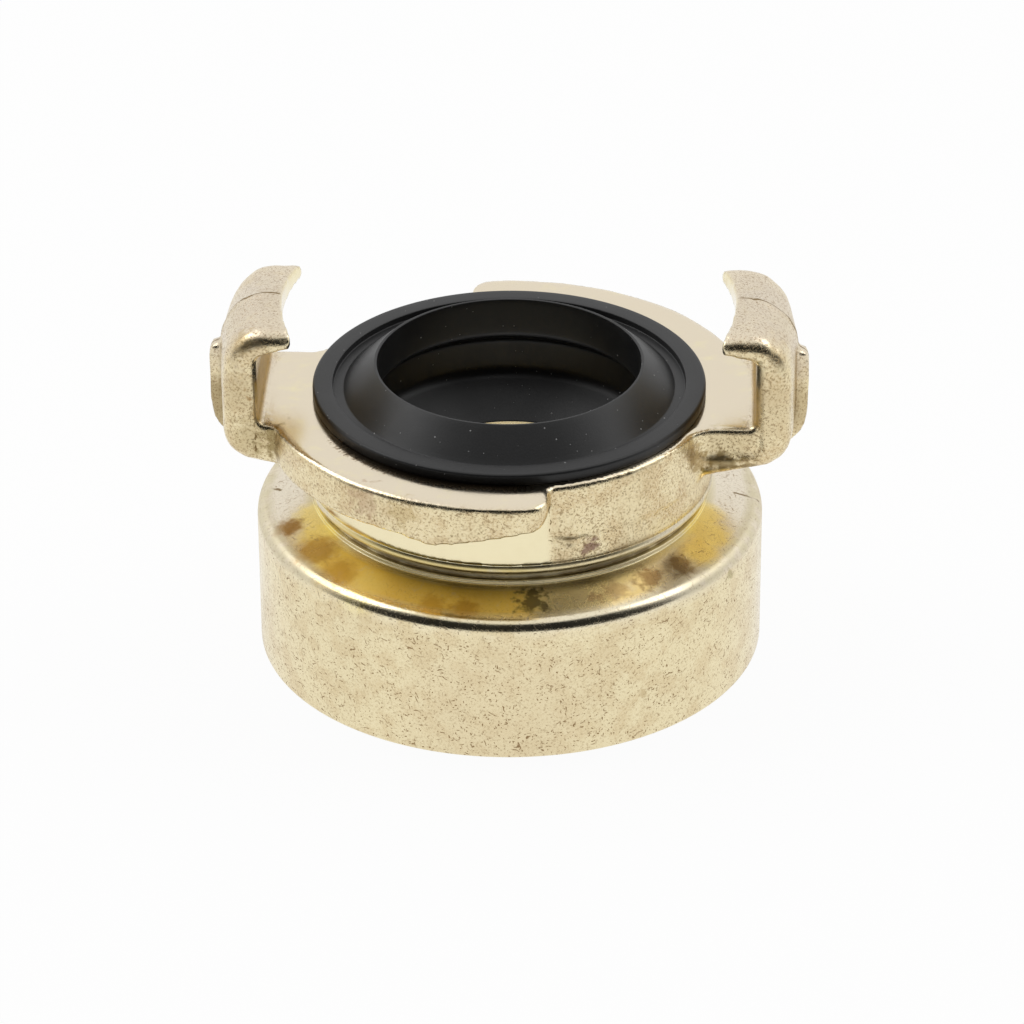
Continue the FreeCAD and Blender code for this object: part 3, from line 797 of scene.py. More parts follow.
class Nodes:
    """Short way to place and link nodes in one node tree."""

    def __init__(self, tree: bpy.types.NodeTree) -> None:
        """Keep the tree that the nodes go into."""
        self.tree = tree

    def add(self, kind: str, inputs: dict | None = None, **settings: object) -> bpy.types.Node:
        """Place a node.

        Args:
            kind: Type of the node.
            inputs: Value or linked socket of each input, by the input's name or number.
            settings: Properties of the node.

        Returns:
            The node.
        """
        node = self.tree.nodes.new(kind)
        for name, value in settings.items():
            setattr(node, name, value)
        self.feed(node, inputs or {})
        return node

    def feed(self, node: bpy.types.Node, inputs: dict) -> None:
        """Give a node's inputs their values or links.

        Args:
            node: The node.
            inputs: Value or linked socket of each input, by the input's name or number.
        """
        for key, value in inputs.items():
            if isinstance(value, Socket):
                self.tree.links.new(value, node.inputs[key])
            else:
                node.inputs[key].default_value = value

    def math(self, operation: str, *values: object, clamp: bool = False) -> Socket:
        """A Math node's result."""
        node = self.add("ShaderNodeMath", dict(enumerate(values)), operation=operation, use_clamp=clamp)
        return node.outputs[0]

    def linear(self, value: object, slope: object, start: object) -> Socket:
        """The start plus the slope times the value."""
        return self.math("MULTIPLY_ADD", value, slope, start)

    def times(self, *values: object) -> Socket:
        """The product of several values."""
        return reduce(partial(self.math, "MULTIPLY"), values)

    def largest(self, *values: object) -> Socket:
        """The largest of several values."""
        return reduce(partial(self.math, "MAXIMUM"), values)

    def vector(self, operation: str, *values: object) -> Socket:
        """A Vector Math node's vector."""
        return self.add("ShaderNodeVectorMath", dict(enumerate(values)), operation=operation).outputs[0]

    def length(self, value: Socket) -> Socket:
        """The length of a vector."""
        return self.add("ShaderNodeVectorMath", {0: value}, operation="LENGTH").outputs["Value"]

    def steps(self, value: Socket, low: object, high: object) -> Socket:
        """A smooth step from 0 at low to 1 at high."""
        ends = {"Value": value, "From Min": low, "From Max": high}
        return self.add("ShaderNodeMapRange", ends, interpolation_type="SMOOTHSTEP").outputs["Result"]

    def mix(self, share: object, first: object, second: object) -> Socket:
        """A colour mixed from two."""
        node = self.add("ShaderNodeMix", {0: share, 6: first, 7: second}, data_type="RGBA")
        return node.outputs[2]

    def noise(self, place: Socket, scale: object, detail: float = 4, output: str = "Fac") -> Socket:
        """Noise of a scale in turns per metre."""
        node = self.add("ShaderNodeTexNoise", {"Vector": place, "Scale": scale, "Detail": detail})
        return node.outputs[output]

    def bump(self, height: Socket, relief: float) -> Socket:
        """The normal of a surface with a height from 0 to 1 times the relief."""
        values = {"Height": height, "Distance": relief, "Strength": 1.0}
        return self.add("ShaderNodeBump", values).outputs["Normal"]

    def attribute(self, name: str) -> Socket:
        """A value that the mesh carries on its points."""
        return self.add("ShaderNodeAttribute", attribute_name=name).outputs["Fac"]

    def group(self, effect: "Effect", **inputs: object) -> Socket:
        """The first output of a shared effect, placed with its own values."""
        values = {name.capitalize(): value for name, value in inputs.items()}
        return self.add("ShaderNodeGroup", values, node_tree=effect.tree).outputs[0]

    def chosen_cells(
        self, place: Socket, scale: object, size: object, share: object, core: float,
    ) -> Socket:
        """Mask of spots in the middles of some of the cells of a scattered pattern.

        Args:
            place: Place in the pattern.
            scale: Cells per metre.
            size: Radius of a spot as a share of a cell.
            share: Share of the cells that have a spot.
            core: Share of the radius inside which the spot is full.

        Returns:
            The mask.
        """
        cells = self.add("ShaderNodeTexVoronoi", {"Vector": place, "Scale": scale})
        draw = self.add("ShaderNodeSeparateColor", {0: cells.outputs["Color"]}).outputs[0]
        spot = self.steps(cells.outputs["Distance"], size, self.times(size, core))
        return self.times(spot, self.math("LESS_THAN", draw, share))


def new_material(name: str) -> tuple[bpy.types.Material, Nodes, bpy.types.Node]:
    """Make a material.

    Args:
        name: Its name.

    Returns:
        The material, its nodes and its Principled shader.
    """
    material = bpy.data.materials.new(name)
    material.use_nodes = True
    return material, Nodes(material.node_tree), material.node_tree.nodes["Principled BSDF"]


class Effect:
    """Node group with named inputs and one named output that is a mask or a height from 0 to 1."""

    def __init__(self, name: str, output: str, vectors: tuple[str, ...], values: dict[str, float]) -> None:
        """Make the group with its sockets.

        Args:
            name: Name of the group.
            output: Name of its output.
            vectors: Names of its vector inputs.
            values: Name and usual value of its other inputs.
        """
        self.tree = bpy.data.node_groups.new(name, "ShaderNodeTree")
        sockets = self.tree.interface
        for label in vectors:
            sockets.new_socket(name=label, in_out="INPUT", socket_type="NodeSocketVector")
        for label, value in values.items():
            socket = sockets.new_socket(name=label, in_out="INPUT", socket_type="NodeSocketFloat")
            socket.default_value = value
        sockets.new_socket(name=output, in_out="OUTPUT", socket_type="NodeSocketFloat")
        self.nodes = Nodes(self.tree)
        self.inputs = self.nodes.add("NodeGroupInput").outputs

    def close(self, result: Socket) -> None:
        """Link the result to the group's output."""
        self.nodes.add("NodeGroupOutput", {0: result})


class Effects:
    """The effects that the finishes share, each built once."""

    def __init__(self) -> None:
        """Build every effect."""
        self.grain = self.build_grain()
        self.specks = self.build_specks()
        self.strokes = self.build_strokes()
        self.patch = self.build_patch()
        self.line = self.build_line()

    @staticmethod
    def build_grain() -> Effect:
        """Height of a fine uneven grain: coarse noise with a finer one on it.

        Returns:
            The group.
        """
        effect = Effect("grain", "Height", ("Vector",), {"Scale": 2500})
        nodes, inputs = effect.nodes, effect.inputs
        coarse = nodes.noise(inputs["Vector"], inputs["Scale"], 2)
        fine = nodes.noise(inputs["Vector"], nodes.times(inputs["Scale"], 3.1), 2)
        effect.close(nodes.math("ADD", nodes.times(coarse, 0.7), nodes.times(fine, 0.3)))
        return effect

    @staticmethod
    def build_specks() -> Effect:
        """Mask of small round specks: the middles of some of the cells of a scattered pattern.

        Returns:
            The group.
        """
        effect = Effect("specks", "Mask", ("Vector",), {"Scale": 1000, "Size": 0.1, "Share": 0.3})
        nodes, inputs = effect.nodes, effect.inputs
        cells = (inputs[name] for name in ("Vector", "Scale", "Size", "Share"))
        effect.close(nodes.chosen_cells(*cells, 0.4))
        return effect

    @staticmethod
    def build_strokes() -> Effect:
        """Mask of short thin strokes: specks of a pattern that is turned and drawn out eight times.

        Returns:
            The group.
        """
        effect = Effect("strokes", "Mask", ("Vector", "Turn"), {"Scale": 2200, "Width": 0.16, "Share": 0.5})
        nodes, inputs = effect.nodes, effect.inputs
        places = {"Vector": inputs["Vector"], "Rotation": inputs["Turn"]}
        turned = nodes.add("ShaderNodeVectorRotate", places, rotation_type="EULER_XYZ").outputs[0]
        drawn = nodes.vector("MULTIPLY", turned, (1, 1, 0.12))
        effect.close(nodes.chosen_cells(drawn, inputs["Scale"], inputs["Width"], inputs["Share"], 0.5))
        return effect

    @staticmethod
    def build_patch() -> Effect:
        """Mask of one patch: a ball round a centre, with its edge shifted by a ragged value.

        Returns:
            The group.
        """
        effect = Effect("patch", "Mask", ("Vector", "Centre"), {"Radius": 0.001, "Ragged": 0.0})
        nodes, inputs = effect.nodes, effect.inputs
        away = nodes.length(nodes.vector("SUBTRACT", inputs["Vector"], inputs["Centre"]))
        away = nodes.linear(inputs["Ragged"], inputs["Radius"], away)
        effect.close(nodes.steps(away, inputs["Radius"], nodes.times(inputs["Radius"], 0.35)))
        return effect

    @staticmethod
    def build_line() -> Effect:
        """Mask of one thin line: places near the straight stretch between two ends.

        Returns:
            The group.
        """
        effect = Effect("line", "Mask", ("Vector", "Start", "End"), {"Width": 0.0001})
        nodes, inputs = effect.nodes, effect.inputs
        along = nodes.vector("SUBTRACT", inputs["End"], inputs["Start"])
        off = nodes.vector("SUBTRACT", inputs["Vector"], inputs["Start"])
        dots = [
            nodes.add("ShaderNodeVectorMath", {0: first, 1: along}, operation="DOT_PRODUCT")
            for first in (off, along)
        ]
        share = nodes.math("DIVIDE", *(dot.outputs["Value"] for dot in dots), clamp=True)
        reach = nodes.add("ShaderNodeVectorMath", {0: along, "Scale": share}, operation="SCALE").outputs[0]
        away = nodes.length(nodes.vector("SUBTRACT", off, reach))
        effect.close(nodes.steps(away, inputs["Width"], nodes.times(inputs["Width"], 0.3)))
        return effect


def rgb(red: float, green: float, blue: float) -> Colour:
    """A colour with full opacity."""
    return red, green, blue, 1.0


@dataclass(frozen=True)
class Patch:
    """One patch of colour on the brass, mostly a stained spot and in places a painted reflection: its middle
    and radius in millimetres, its colour, strength and raggedness.
    """

    middle: Place
    radius: float
    colour: Colour
    strength: float
    ragged: float = 1.0


@dataclass(frozen=True)
class ForgedBrass:
    """Brass that was forged, tumbled and in places turned, with the marks of both and of handling, and with
    painted reflections, shadows and highlights in places.
    """

    name: str = "forged_brass"
    forged: Colour = rgb(0.82, 0.70, 0.44)
    turned: Colour = rgb(0.87, 0.78, 0.52)
    tan: Colour = rgb(0.66, 0.51, 0.29)
    # Pale tone of upward faces: partly dust, partly a painted sheen.
    dust_and_sheen: Colour = rgb(0.80, 0.70, 0.56)
    pale: Colour = rgb(0.83, 0.75, 0.62)
    worn: Colour = rgb(0.60, 0.53, 0.36)
    # Brown laid in concave hollows and along the lines.
    hollow_and_line_brown: Colour = rgb(0.22, 0.14, 0.05)
    fleck: Colour = rgb(0.29, 0.18, 0.08)
    # Near black of the ring in front of the seal: partly soiling, partly a painted reflection of the seal.
    soot_and_reflection: Colour = rgb(0.05, 0.035, 0.02)
    slot: Colour = rgb(0.56, 0.33, 0.05)
    # Painted reflection of brass in brass, on the shoulder under the wings.
    golden_reflection: Colour = rgb(1.0, 0.77, 0.19)
    # Lighter grain and lighter edges; on the edges partly wear and partly a painted highlight.
    polished_and_highlight: Colour = rgb(0.92, 0.84, 0.62)
    forged_roughness: float = 0.27
    turned_roughness: float = 0.14
    marks_and_reflection_roughness: float = 0.25
    golden_reflection_roughness: float = 0.2
    cloud_roughness: float = 0.25
    relief: float = 0.000014
    seam_width: float = 0.00014
    seam_wobble: float = 0.0012
    cloud_scale: float = 170
    blotch_scale: float = 560
    mottle_scale: float = 420
    ragged_scale: float = 1300
    grain_scale: float = 4600
    streak_scale: float = 90
    waver_scale: float = 1100
    waver: float = 0.0008
    calm_levels: tuple[Place, ...] = ((0.0145, 0.0165, 0.45), (0.0275, 0.0305, 0.25))
    dust_and_sheen_level: Pair = (0.017, 0.024)
    turns: tuple[Place, ...] = (
        (0.4, 0.2, 0.0), (1.5, 0.3, 0.7), (1.2, -0.8, 2.1), (0.7, 1.1, 4.0), (1.9, 0.9, 5.2),
    )
    stains_and_reflections: tuple[Patch, ...] = (
        # The cup front's darker middle is a painted reflection of the shaded floor in front of the cup.
        Patch((0, -24.6, 4.5), 12.5, rgb(0.74, 0.62, 0.40), 0.45, 0.2),
        # The bright yellow patches on the shoulder beside the neck's foot, this one and the next five, are a
        # painted reflection of the brass arms, wings and neck in the shoulder.
        Patch((-13.0, -18.5, 15.1), 3.2, rgb(1.0, 0.84, 0.30), 0.7, 0.15),
        Patch((-18.2, -6.2, 15.5), 2.9, rgb(1.0, 0.86, 0.38), 0.85, 0.25),
        Patch((-17.4, -9.6, 15.3), 2.8, rgb(1.0, 0.84, 0.30), 0.85, 0.25),
        Patch((18.4, -4.8, 15.5), 2.7, rgb(1.0, 0.82, 0.32), 0.85, 0.15),
        Patch((18.9, -8.0, 15.3), 3.2, rgb(1.0, 0.82, 0.30), 0.85, 0.15),
        Patch((18.2, -11.2, 15.2), 2.7, rgb(1.0, 0.80, 0.28), 0.85, 0.15),
        Patch((-24.4, -7.8, 29.0), 3.4, rgb(0.60, 0.49, 0.29), 0.6, 0.5),
        Patch((-23.6, -7.8, 24.6), 3.0, rgb(0.55, 0.44, 0.24), 0.65, 0.5),
        Patch((24.2, -7.8, 28.0), 4.2, rgb(0.66, 0.54, 0.33), 0.6, 0.4),
        Patch((21.0, -7.8, 24.2), 3.0, rgb(0.60, 0.49, 0.29), 0.6, 0.5),
        Patch((-25.4, -1.0, 33.0), 8.0, rgb(0.70, 0.61, 0.48), 0.6, 0.3),
        Patch((25.4, 0.0, 33.0), 8.0, rgb(0.72, 0.63, 0.50), 0.6, 0.3),
        Patch((-20.6, -7.5, 14.9), 1.9, rgb(0.36, 0.20, 0.05), 0.95, 0.35),
        Patch((-17.6, -12.0, 15.0), 2.9, rgb(0.50, 0.29, 0.05), 0.8, 0.25),
        Patch((-15.6, -15.9, 14.9), 2.9, rgb(0.60, 0.36, 0.05), 0.75, 0.2),
        Patch((-6.4, -21.4, 14.9), 1.9, rgb(0.60, 0.37, 0.06), 0.7, 0.35),
        Patch((-3.4, -21.9, 14.8), 1.9, rgb(0.54, 0.32, 0.05), 0.7, 0.35),
        Patch((2.9, -20.8, 15.1), 1.9, rgb(0.10, 0.08, 0.03), 0.8),
        Patch((8.6, -19.8, 15.2), 1.0, rgb(0.45, 0.25, 0.12), 0.5),
        Patch((10.4, -18.6, 15.1), 1.6, rgb(0.50, 0.34, 0.18), 0.6, 0.5),
        Patch((13.6, -16.3, 15.1), 2.0, rgb(0.34, 0.21, 0.09), 0.8, 0.7),
        Patch((16.4, -13.8, 15.0), 1.9, rgb(0.30, 0.18, 0.07), 0.75, 0.6),
        Patch((8.1, -17.5, 19.0), 1.15, rgb(0.26, 0.16, 0.12), 0.9),
        Patch((21.0, -11.8, 13.0), 0.8, rgb(0.35, 0.30, 0.12), 0.6),
        Patch((-12.8, -19.1, 24.4), 2.0, rgb(0.50, 0.34, 0.22), 0.5),
        Patch((-9.0, -20.9, 24.4), 1.6, rgb(0.55, 0.42, 0.20), 0.5),
        Patch((-22.2, -5.5, 30.0), 2.8, rgb(0.32, 0.17, 0.04), 0.9),
        Patch((-21.6, -7.9, 24.2), 2.0, rgb(0.26, 0.19, 0.07), 0.75),
        Patch((-24.3, -6.9, 34.6), 1.5, rgb(0.50, 0.36, 0.14), 0.5),
        Patch((-27.4, -0.9, 24.8), 4.2, rgb(0.42, 0.33, 0.18), 0.9, 0.5),
        Patch((27.4, -0.9, 25.0), 3.6, rgb(0.56, 0.45, 0.26), 0.8, 0.5),
        # The three dark patches on the right arm's lower front, this one, the next and the one after the two
        # yellow patches, are a painted reflection of the shade under the arm.
        Patch((17.6, -8.1, 23.1), 1.8, rgb(0.36, 0.24, 0.08), 0.7),
        Patch((20.3, -7.8, 22.4), 2.0, rgb(0.22, 0.15, 0.05), 0.8),
        # These two yellow patches along the right arm's lower edge are a painted reflection of the
        # shoulder's brass.
        Patch((20.5, -7.6, 21.2), 1.0, rgb(0.95, 0.72, 0.20), 0.8, 0.4),
        Patch((18.6, -7.7, 20.9), 1.0, rgb(0.95, 0.72, 0.20), 0.8, 0.4),
        Patch((22.4, -7.8, 22.4), 1.2, rgb(0.24, 0.16, 0.05), 0.7),
        Patch((13.0, -20.3, 5.0), 0.6, rgb(0.40, 0.26, 0.10), 0.4),
        Patch((-15.0, 15.5, 15.2), 2.2, rgb(0.28, 0.16, 0.04), 0.7),
        Patch((10.0, 21.5, 8.0), 1.2, rgb(0.45, 0.33, 0.16), 0.4),
    )
    lines: tuple[tuple[Place, Place, float], ...] = (
        ((-23.5, -7.85, 27.9), (-23.5, -7.8, 23.0), 0.14),
        ((18.2, -7.85, 23.4), (21.0, -7.8, 23.1), 0.16),
        ((21.0, -7.85, 23.1), (23.6, -7.8, 23.3), 0.14),
        ((4.35, -18.9, 25.5), (4.35, -18.9, 20.4), 0.10),
        ((4.4, -18.9, 20.4), (6.2, -18.4, 19.9), 0.12),
        ((6.2, -18.4, 19.9), (7.6, -17.8, 20.1), 0.10),
        ((-11.5, -20.0, 24.0), (-12.0, -19.7, 22.1), 0.10),
        ((-24.0, 1.5, 13.7), (-22.0, -0.3, 14.9), 0.3),
        ((-24.08, 0.0, 12.9), (-23.9, 1.6, 13.8), 0.3),
        ((21.5, 0.1, 15.0), (23.7, -0.1, 14.2), 0.3),
        ((2.4, -23.0, 14.6), (3.4, -23.8, 13.8), 0.14),
    )

    def patterns(self, nodes: Nodes, effects: Effects) -> SimpleNamespace:
        """Place the masks that the colour, the roughness and the relief share.

        Args:
            nodes: The material's nodes.
            effects: The shared effects.

        Returns:
            The masks by their names, with those that the mesh carries.
        """
        seen = SimpleNamespace(**{name: nodes.attribute(name) for name in REGIONS})
        seen.place = nodes.add("ShaderNodeTexCoord").outputs["Object"]
        x, y, seen.z = nodes.add("ShaderNodeSeparateXYZ", {0: seen.place}).outputs
        seen.cloud = nodes.noise(seen.place, self.cloud_scale)
        seen.blotch = nodes.noise(seen.place, self.blotch_scale)
        seen.grain = nodes.group(effects.grain, vector=seen.place, scale=self.grain_scale)
        seen.dark_grain = nodes.steps(seen.grain, 0.51, 0.66)

        shift = nodes.vector("SUBTRACT", nodes.noise(seen.place, self.waver_scale, 2, "Color"), (0.5,) * 3)
        wavering = nodes.vector("ADD", seen.place, nodes.vector("MULTIPLY", shift, (self.waver,) * 3))
        strokes = nodes.largest(*(
            nodes.group(effects.strokes, vector=wavering, turn=turn, **STROKES) for turn in self.turns
        ))
        calm = 1
        for low, high, less in self.calm_levels:
            calm = nodes.linear(nodes.steps(seen.z, low, high), -less, calm)
        patchy = nodes.steps(seen.blotch, 0.32, 0.52)
        seen.strokes = nodes.times(strokes, patchy, nodes.steps(seen.forged, 0.1, 0.5), calm)
        pits = nodes.times(nodes.group(effects.specks, vector=wavering, **PITS), seen.forged)
        flecks = nodes.largest(
            nodes.times(seen.dark_grain, seen.forged, 0.6), nodes.times(seen.strokes, 0.9), pits,
        )
        seen.flecks = nodes.times(flecks, nodes.linear(seen.golden_reflection, -0.7, 1))

        lines = [
            nodes.group(effects.line, vector=wavering, start=scaled(start), end=scaled(end), width=wide * MM)
            for start, end, wide in self.lines
        ]
        wobble = nodes.times(nodes.math("SUBTRACT", seen.blotch, 0.5), self.seam_wobble)
        off_seam = nodes.math("ABSOLUTE", nodes.math("ADD", y, wobble))
        seam = nodes.times(nodes.steps(off_seam, self.seam_width, self.seam_width * 0.3), seen.seam)
        lines.append(nodes.times(seam, nodes.steps(seen.cloud, 0.2, 0.4)))
        # Darker brown in concave hollows, in random blotches, and along the lines.
        hollow = nodes.times(seen.hollow, nodes.steps(seen.blotch, 0.2, 0.6), 0.75)
        seen.dark = nodes.largest(hollow, nodes.times(nodes.largest(*lines), 0.9))

        # Radial streaks of the dark ring in front of the seal: partly soiling, partly a painted reflection
        # and shadow of the seal.
        outward = {0: nodes.math("ARCTAN2", y, x), 1: nodes.times(nodes.length(seen.place), 8)}
        streaked = nodes.add("ShaderNodeCombineXYZ", outward).outputs[0]
        loose = nodes.math("ADD", nodes.noise(streaked, self.streak_scale), seen.grain)
        loose = nodes.linear(nodes.math("SUBTRACT", loose, 1), 1.5, seen.soot_and_reflection)
        seen.loose = nodes.times(loose, nodes.steps(seen.soot_and_reflection, 0, 0.15))
        seen.smudge = nodes.steps(seen.loose, 0.35, 0.75)
        return seen

    def colour(self, nodes: Nodes, effects: Effects, seen: SimpleNamespace) -> Socket:
        """Lay the tones, the stained spots, the painted reflections and highlights and the marks over the
        bare brass, each with its mask and strength.

        Args:
            nodes: The material's nodes.
            effects: The shared effects.
            seen: The masks.

        Returns:
            The colour.
        """
        mottled = nodes.steps(nodes.noise(seen.place, self.mottle_scale), 0.42, 0.62)
        # Paler on upward faces above the shoulder: partly dust, partly a painted sheen.
        normal = nodes.add("ShaderNodeNewGeometry").outputs["Normal"]
        level = nodes.steps(nodes.add("ShaderNodeSeparateXYZ", {0: normal}).outputs["Z"], 0.5, 0.95)
        dust_and_sheen = nodes.times(level, nodes.steps(seen.z, *self.dust_and_sheen_level), nodes.steps(seen.blotch, 0.1, 0.5))
        tones = [
            (nodes.times(mottled, nodes.linear(seen.forged, 0.62, 0.05)), self.tan),
            (nodes.times(dust_and_sheen, 0.8), self.dust_and_sheen),
            (nodes.times(seen.pale, 0.85), self.pale),
            # Painted golden reflection on the shoulder under the wings, in blotches.
            (nodes.times(seen.golden_reflection, nodes.steps(seen.blotch, 0.2, 0.45), 0.9), self.golden_reflection),
            (nodes.times(seen.dull, 0.45), self.worn),
            (nodes.times(seen.worn, nodes.steps(seen.blotch, 0.3, 0.6)), self.worn),
            (nodes.times(nodes.steps(seen.grain, 0.50, 0.36), seen.forged, 0.35), self.polished_and_highlight),
        ]
        ragged = nodes.linear(nodes.noise(seen.place, self.ragged_scale), 2.8, -1.4)
        for patch in self.stains_and_reflections:
            mask = nodes.group(effects.patch, vector=seen.place, centre=scaled(patch.middle),
                               radius=patch.radius * MM, ragged=nodes.times(ragged, patch.ragged))
            tones.append((nodes.times(mask, patch.strength), patch.colour))
        tones += [
            (nodes.times(seen.slot, 0.9), self.slot),
            (seen.flecks, self.fleck),
            (seen.dark, self.hollow_and_line_brown),
            # The dark ring in front of the seal, brown streaks outside and near black inside: partly
            # soiling, partly a painted reflection and shadow of the seal.
            (nodes.times(nodes.steps(seen.loose, 0.1, 0.6), 0.8), self.fleck),
            (seen.smudge, self.soot_and_reflection),
            # Lighter on convex edges and the shoulder's rounding: partly wear, partly a painted highlight.
            (nodes.times(seen.edge, nodes.steps(seen.blotch, 0.35, 0.55), 0.4), self.polished_and_highlight),
        ]
        colour = nodes.mix(seen.forged, self.turned, self.forged)
        for mask, tone in tones:
            colour = nodes.mix(mask, colour, tone)
        return colour

    def material(self, effects: Effects) -> bpy.types.Material:
        """Make the finish's material.

        Args:
            effects: The shared effects.

        Returns:
            The material.
        """
        material, nodes, shader = new_material(self.name)
        seen = self.patterns(nodes, effects)
        # The inner faces of the slots are brown and less metallic.
        slot_matt = nodes.times(seen.slot, 0.8)
        # Rougher at marks, hollows, lines, the slots, worn parts and the dark ring in front of the seal,
        # which is partly a painted reflection.
        marks_and_reflection = nodes.largest(seen.dark, seen.flecks, slot_matt, seen.smudge, seen.worn)
        golden = nodes.largest(seen.golden_reflection, nodes.times(seen.dull, 0.5))
        gain = self.forged_roughness - self.turned_roughness
        rough = nodes.linear(seen.forged, gain, self.turned_roughness)
        rough = nodes.linear(marks_and_reflection, self.marks_and_reflection_roughness, rough)
        rough = nodes.linear(golden, self.golden_reflection_roughness, rough)
        rough = nodes.linear(nodes.math("SUBTRACT", seen.cloud, 0.5), self.cloud_roughness, rough)
        rugged = nodes.linear(nodes.times(seen.forged, seen.forged), 0.9, 0.12)
        dents = nodes.linear(seen.strokes, 0.5, seen.dark_grain)
        height = nodes.times(nodes.math("SUBTRACT", nodes.times(seen.grain, 1.4), dents), rugged)
        nodes.feed(shader, {
            "Base Color": self.colour(nodes, effects, seen),
            "Metallic": nodes.math("SUBTRACT", 1, slot_matt),
            "Roughness": rough,
            "Normal": nodes.bump(height, self.relief),
        })
        return material


def scaled(place: Place) -> tuple[float, ...]:
    """A place in millimetres as metres."""
    return tuple(value * MM for value in place)


@dataclass(frozen=True)
class BlackRubber:
    """Matt moulded rubber with a few white specks of dust."""

    name: str = "black_rubber"
    colour: Colour = rgb(0.009, 0.009, 0.0095)
    dust: Colour = rgb(0.45, 0.45, 0.45)
    faded: Colour = rgb(0.014, 0.014, 0.014)
    roughness: float = 0.34
    uneven: float = 0.16
    gloss: float = 0.47
    relief: float = 0.00001
    cloud_scale: float = 220
    grain_scale: float = 6000

    def material(self, effects: Effects) -> bpy.types.Material:
        """Make the finish's material.

        Args:
            effects: The shared effects.

        Returns:
            The material.
        """
        material, nodes, shader = new_material(self.name)
        place = nodes.add("ShaderNodeTexCoord").outputs["Object"]
        specks = nodes.largest(*(nodes.group(effects.specks, vector=place, **kind) for kind in DUST))
        cloud = nodes.noise(place, self.cloud_scale)
        faded = nodes.mix(nodes.steps(cloud, 0.45, 0.75), self.colour, self.faded)
        rough = nodes.linear(cloud, self.uneven, self.roughness)
        grain = nodes.group(effects.grain, vector=place, scale=self.grain_scale)
        nodes.feed(shader, {
            "Base Color": nodes.mix(specks, faded, self.dust),
            "Specular IOR Level": self.gloss,
            "Roughness": nodes.math("MAXIMUM", rough, specks),
            "Normal": nodes.bump(grain, self.relief),
        })
        return material


@dataclass(frozen=True)
class Lamp:
    """A round area lamp that faces the object: its place and diameter in metres and its power in watts."""

    name: str
    place: Place
    size: float
    power: float

    def build(self) -> None:
        """Place the lamp."""
        lamp = bpy.data.lights.new(self.name, "AREA")
        lamp.shape = "DISK"
        lamp.size = self.size
        lamp.energy = self.power
        holder = bpy.data.objects.new(self.name, lamp)
        holder.location = self.place
        holder.rotation_euler = Vector(self.place).to_track_quat("Z", "Y").to_euler()
        bpy.context.scene.collection.objects.link(holder)


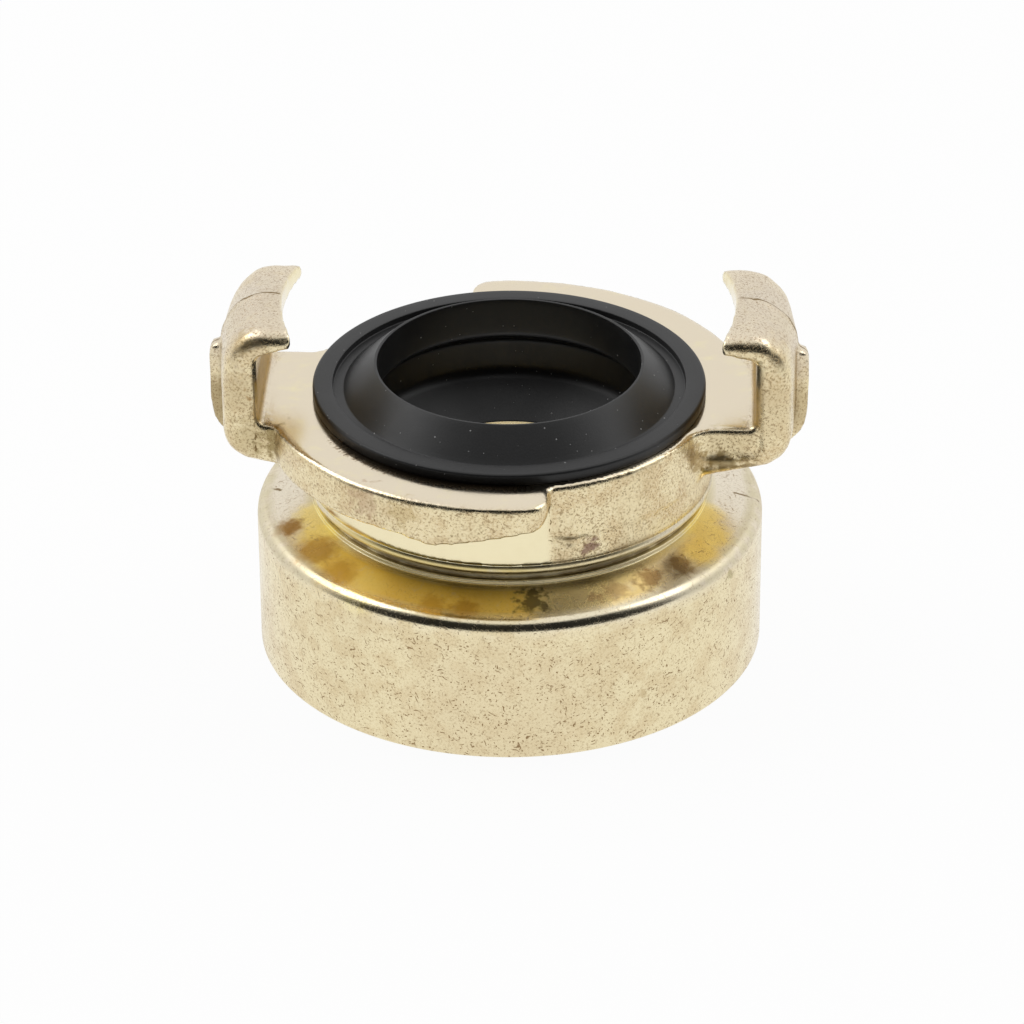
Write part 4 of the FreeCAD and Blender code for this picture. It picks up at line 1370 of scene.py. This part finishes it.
@dataclass
class Studio:
    """White floor, a white sky that is dark behind the camera, and a large soft lamp above each side."""

    floor_size: float = 6.0
    floor_tone: Colour = rgb(0.9, 0.9, 0.9)
    floor_glow: float = 0.95
    white: Colour = rgb(1, 1, 1)
    sky_tone: Colour = rgb(0.92, 0.92, 0.92)
    dark: Colour = rgb(0.02, 0.02, 0.02)
    front: Pair = (0.05, -0.35)
    overhead: Pair = (0.93, 0.85)
    lamps: tuple[Lamp, ...] = (
        Lamp("left", (-0.38, 0.1, 0.45), 0.4, 0.7), Lamp("right", (0.40, 0.12, 0.45), 0.4, 0.5),
    )

    def build(self) -> None:
        """Make the floor, the sky and the lamps."""
        self.build_floor()
        self.build_sky()
        for lamp in self.lamps:
            lamp.build()

    def build_floor(self) -> None:
        """A white floor that keeps the object's shadow."""
        half = self.floor_size / 2
        points = np.array([[-half, -half, 0], [half, -half, 0], [half, half, 0], [-half, half, 0]])
        floor = make_mesh("floor", points, [np.array([[0, 1, 2, 3]])])
        material, nodes, _ = new_material("white_floor")
        nodes.tree.nodes.clear()
        path = nodes.add("ShaderNodeLightPath").outputs
        seen = nodes.math("MAXIMUM", path["Is Camera Ray"], path["Is Glossy Ray"])
        matt = nodes.add("ShaderNodeBsdfDiffuse", {"Color": self.floor_tone}).outputs[0]
        glow = nodes.add("ShaderNodeEmission", {"Color": self.white, "Strength": 1.0}).outputs[0]
        shares = {0: nodes.times(seen, self.floor_glow), 1: matt, 2: glow}
        mixed = nodes.add("ShaderNodeMixShader", shares).outputs[0]
        nodes.add("ShaderNodeOutputMaterial", {"Surface": mixed})
        floor.data.materials.append(material)

    def build_sky(self) -> None:
        """A sky that is white overhead, behind and beside the object, and dark towards the camera."""
        world = bpy.data.worlds.new("studio")
        bpy.context.scene.world = world
        world.use_nodes = True
        nodes = Nodes(world.node_tree)
        nodes.tree.nodes.clear()
        direction = nodes.add("ShaderNodeTexCoord").outputs["Generated"]
        _, y, z = nodes.add("ShaderNodeSeparateXYZ", {0: direction}).outputs
        dark = nodes.times(nodes.steps(y, *self.front), nodes.steps(z, *self.overhead))
        path = nodes.add("ShaderNodeLightPath").outputs
        hidden = nodes.math("SUBTRACT", 1, path["Is Camera Ray"])
        white = nodes.mix(hidden, self.white, self.sky_tone)
        colour = nodes.mix(nodes.times(dark, hidden), white, self.dark)
        glow = nodes.add("ShaderNodeBackground", {"Color": colour, "Strength": 1.0})
        nodes.add("ShaderNodeOutputWorld", {"Surface": glow.outputs[0]})


@dataclass
class Viewpoint:
    """Camera in the photograph's place. Lengths are metres and angles are degrees."""

    aim: Place = (0.0002, 0.0, 0.01266)
    elevation: float = 29.67
    azimuth: float = 2.2
    roll: float = -0.3
    distance: float = 0.487
    focal_pixels: float = 5088
    frame_pixels: int = 1024

    def build(self) -> None:
        """Place the camera and make it the scene's own."""
        data = bpy.data.cameras.new("viewpoint")
        data.sensor_width = 36
        data.lens = self.focal_pixels / self.frame_pixels * data.sensor_width
        data.clip_start = 0.01
        camera = bpy.data.objects.new("viewpoint", data)
        up, side = math.radians(self.elevation), math.radians(self.azimuth)
        away = Vector((math.sin(side) * math.cos(up), -math.cos(side) * math.cos(up), math.sin(up)))
        camera.location = Vector(self.aim) + away * self.distance
        level = away.to_track_quat("Z", "Y")
        camera.rotation_euler = (level @ Quaternion((0, 0, 1), math.radians(self.roll))).to_euler()
        bpy.context.scene.collection.objects.link(camera)
        bpy.context.scene.camera = camera


def main() -> None:
    """Build the coupling, the studio and the camera."""
    logging.basicConfig(level=logging.INFO)
    bpy.context.scene.view_settings.view_transform = "Standard"
    Viewpoint().build()
    Studio().build()
    effects = Effects()
    body = BrassBody().build(frame["nodes"]["claw_body"])
    body.data.materials.append(ForgedBrass().material(effects))
    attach(body, "root")
    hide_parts("claw_body")
    LOG.info("brass body: %d faces", len(body.data.polygons))
    seal = FormSeal().build()
    seal.data.materials.append(BlackRubber().material(effects))
    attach(seal, "root")
    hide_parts("seal_ring")
    LOG.info("form seal: %d faces", len(seal.data.polygons))


if __name__ == "__main__":
    main()
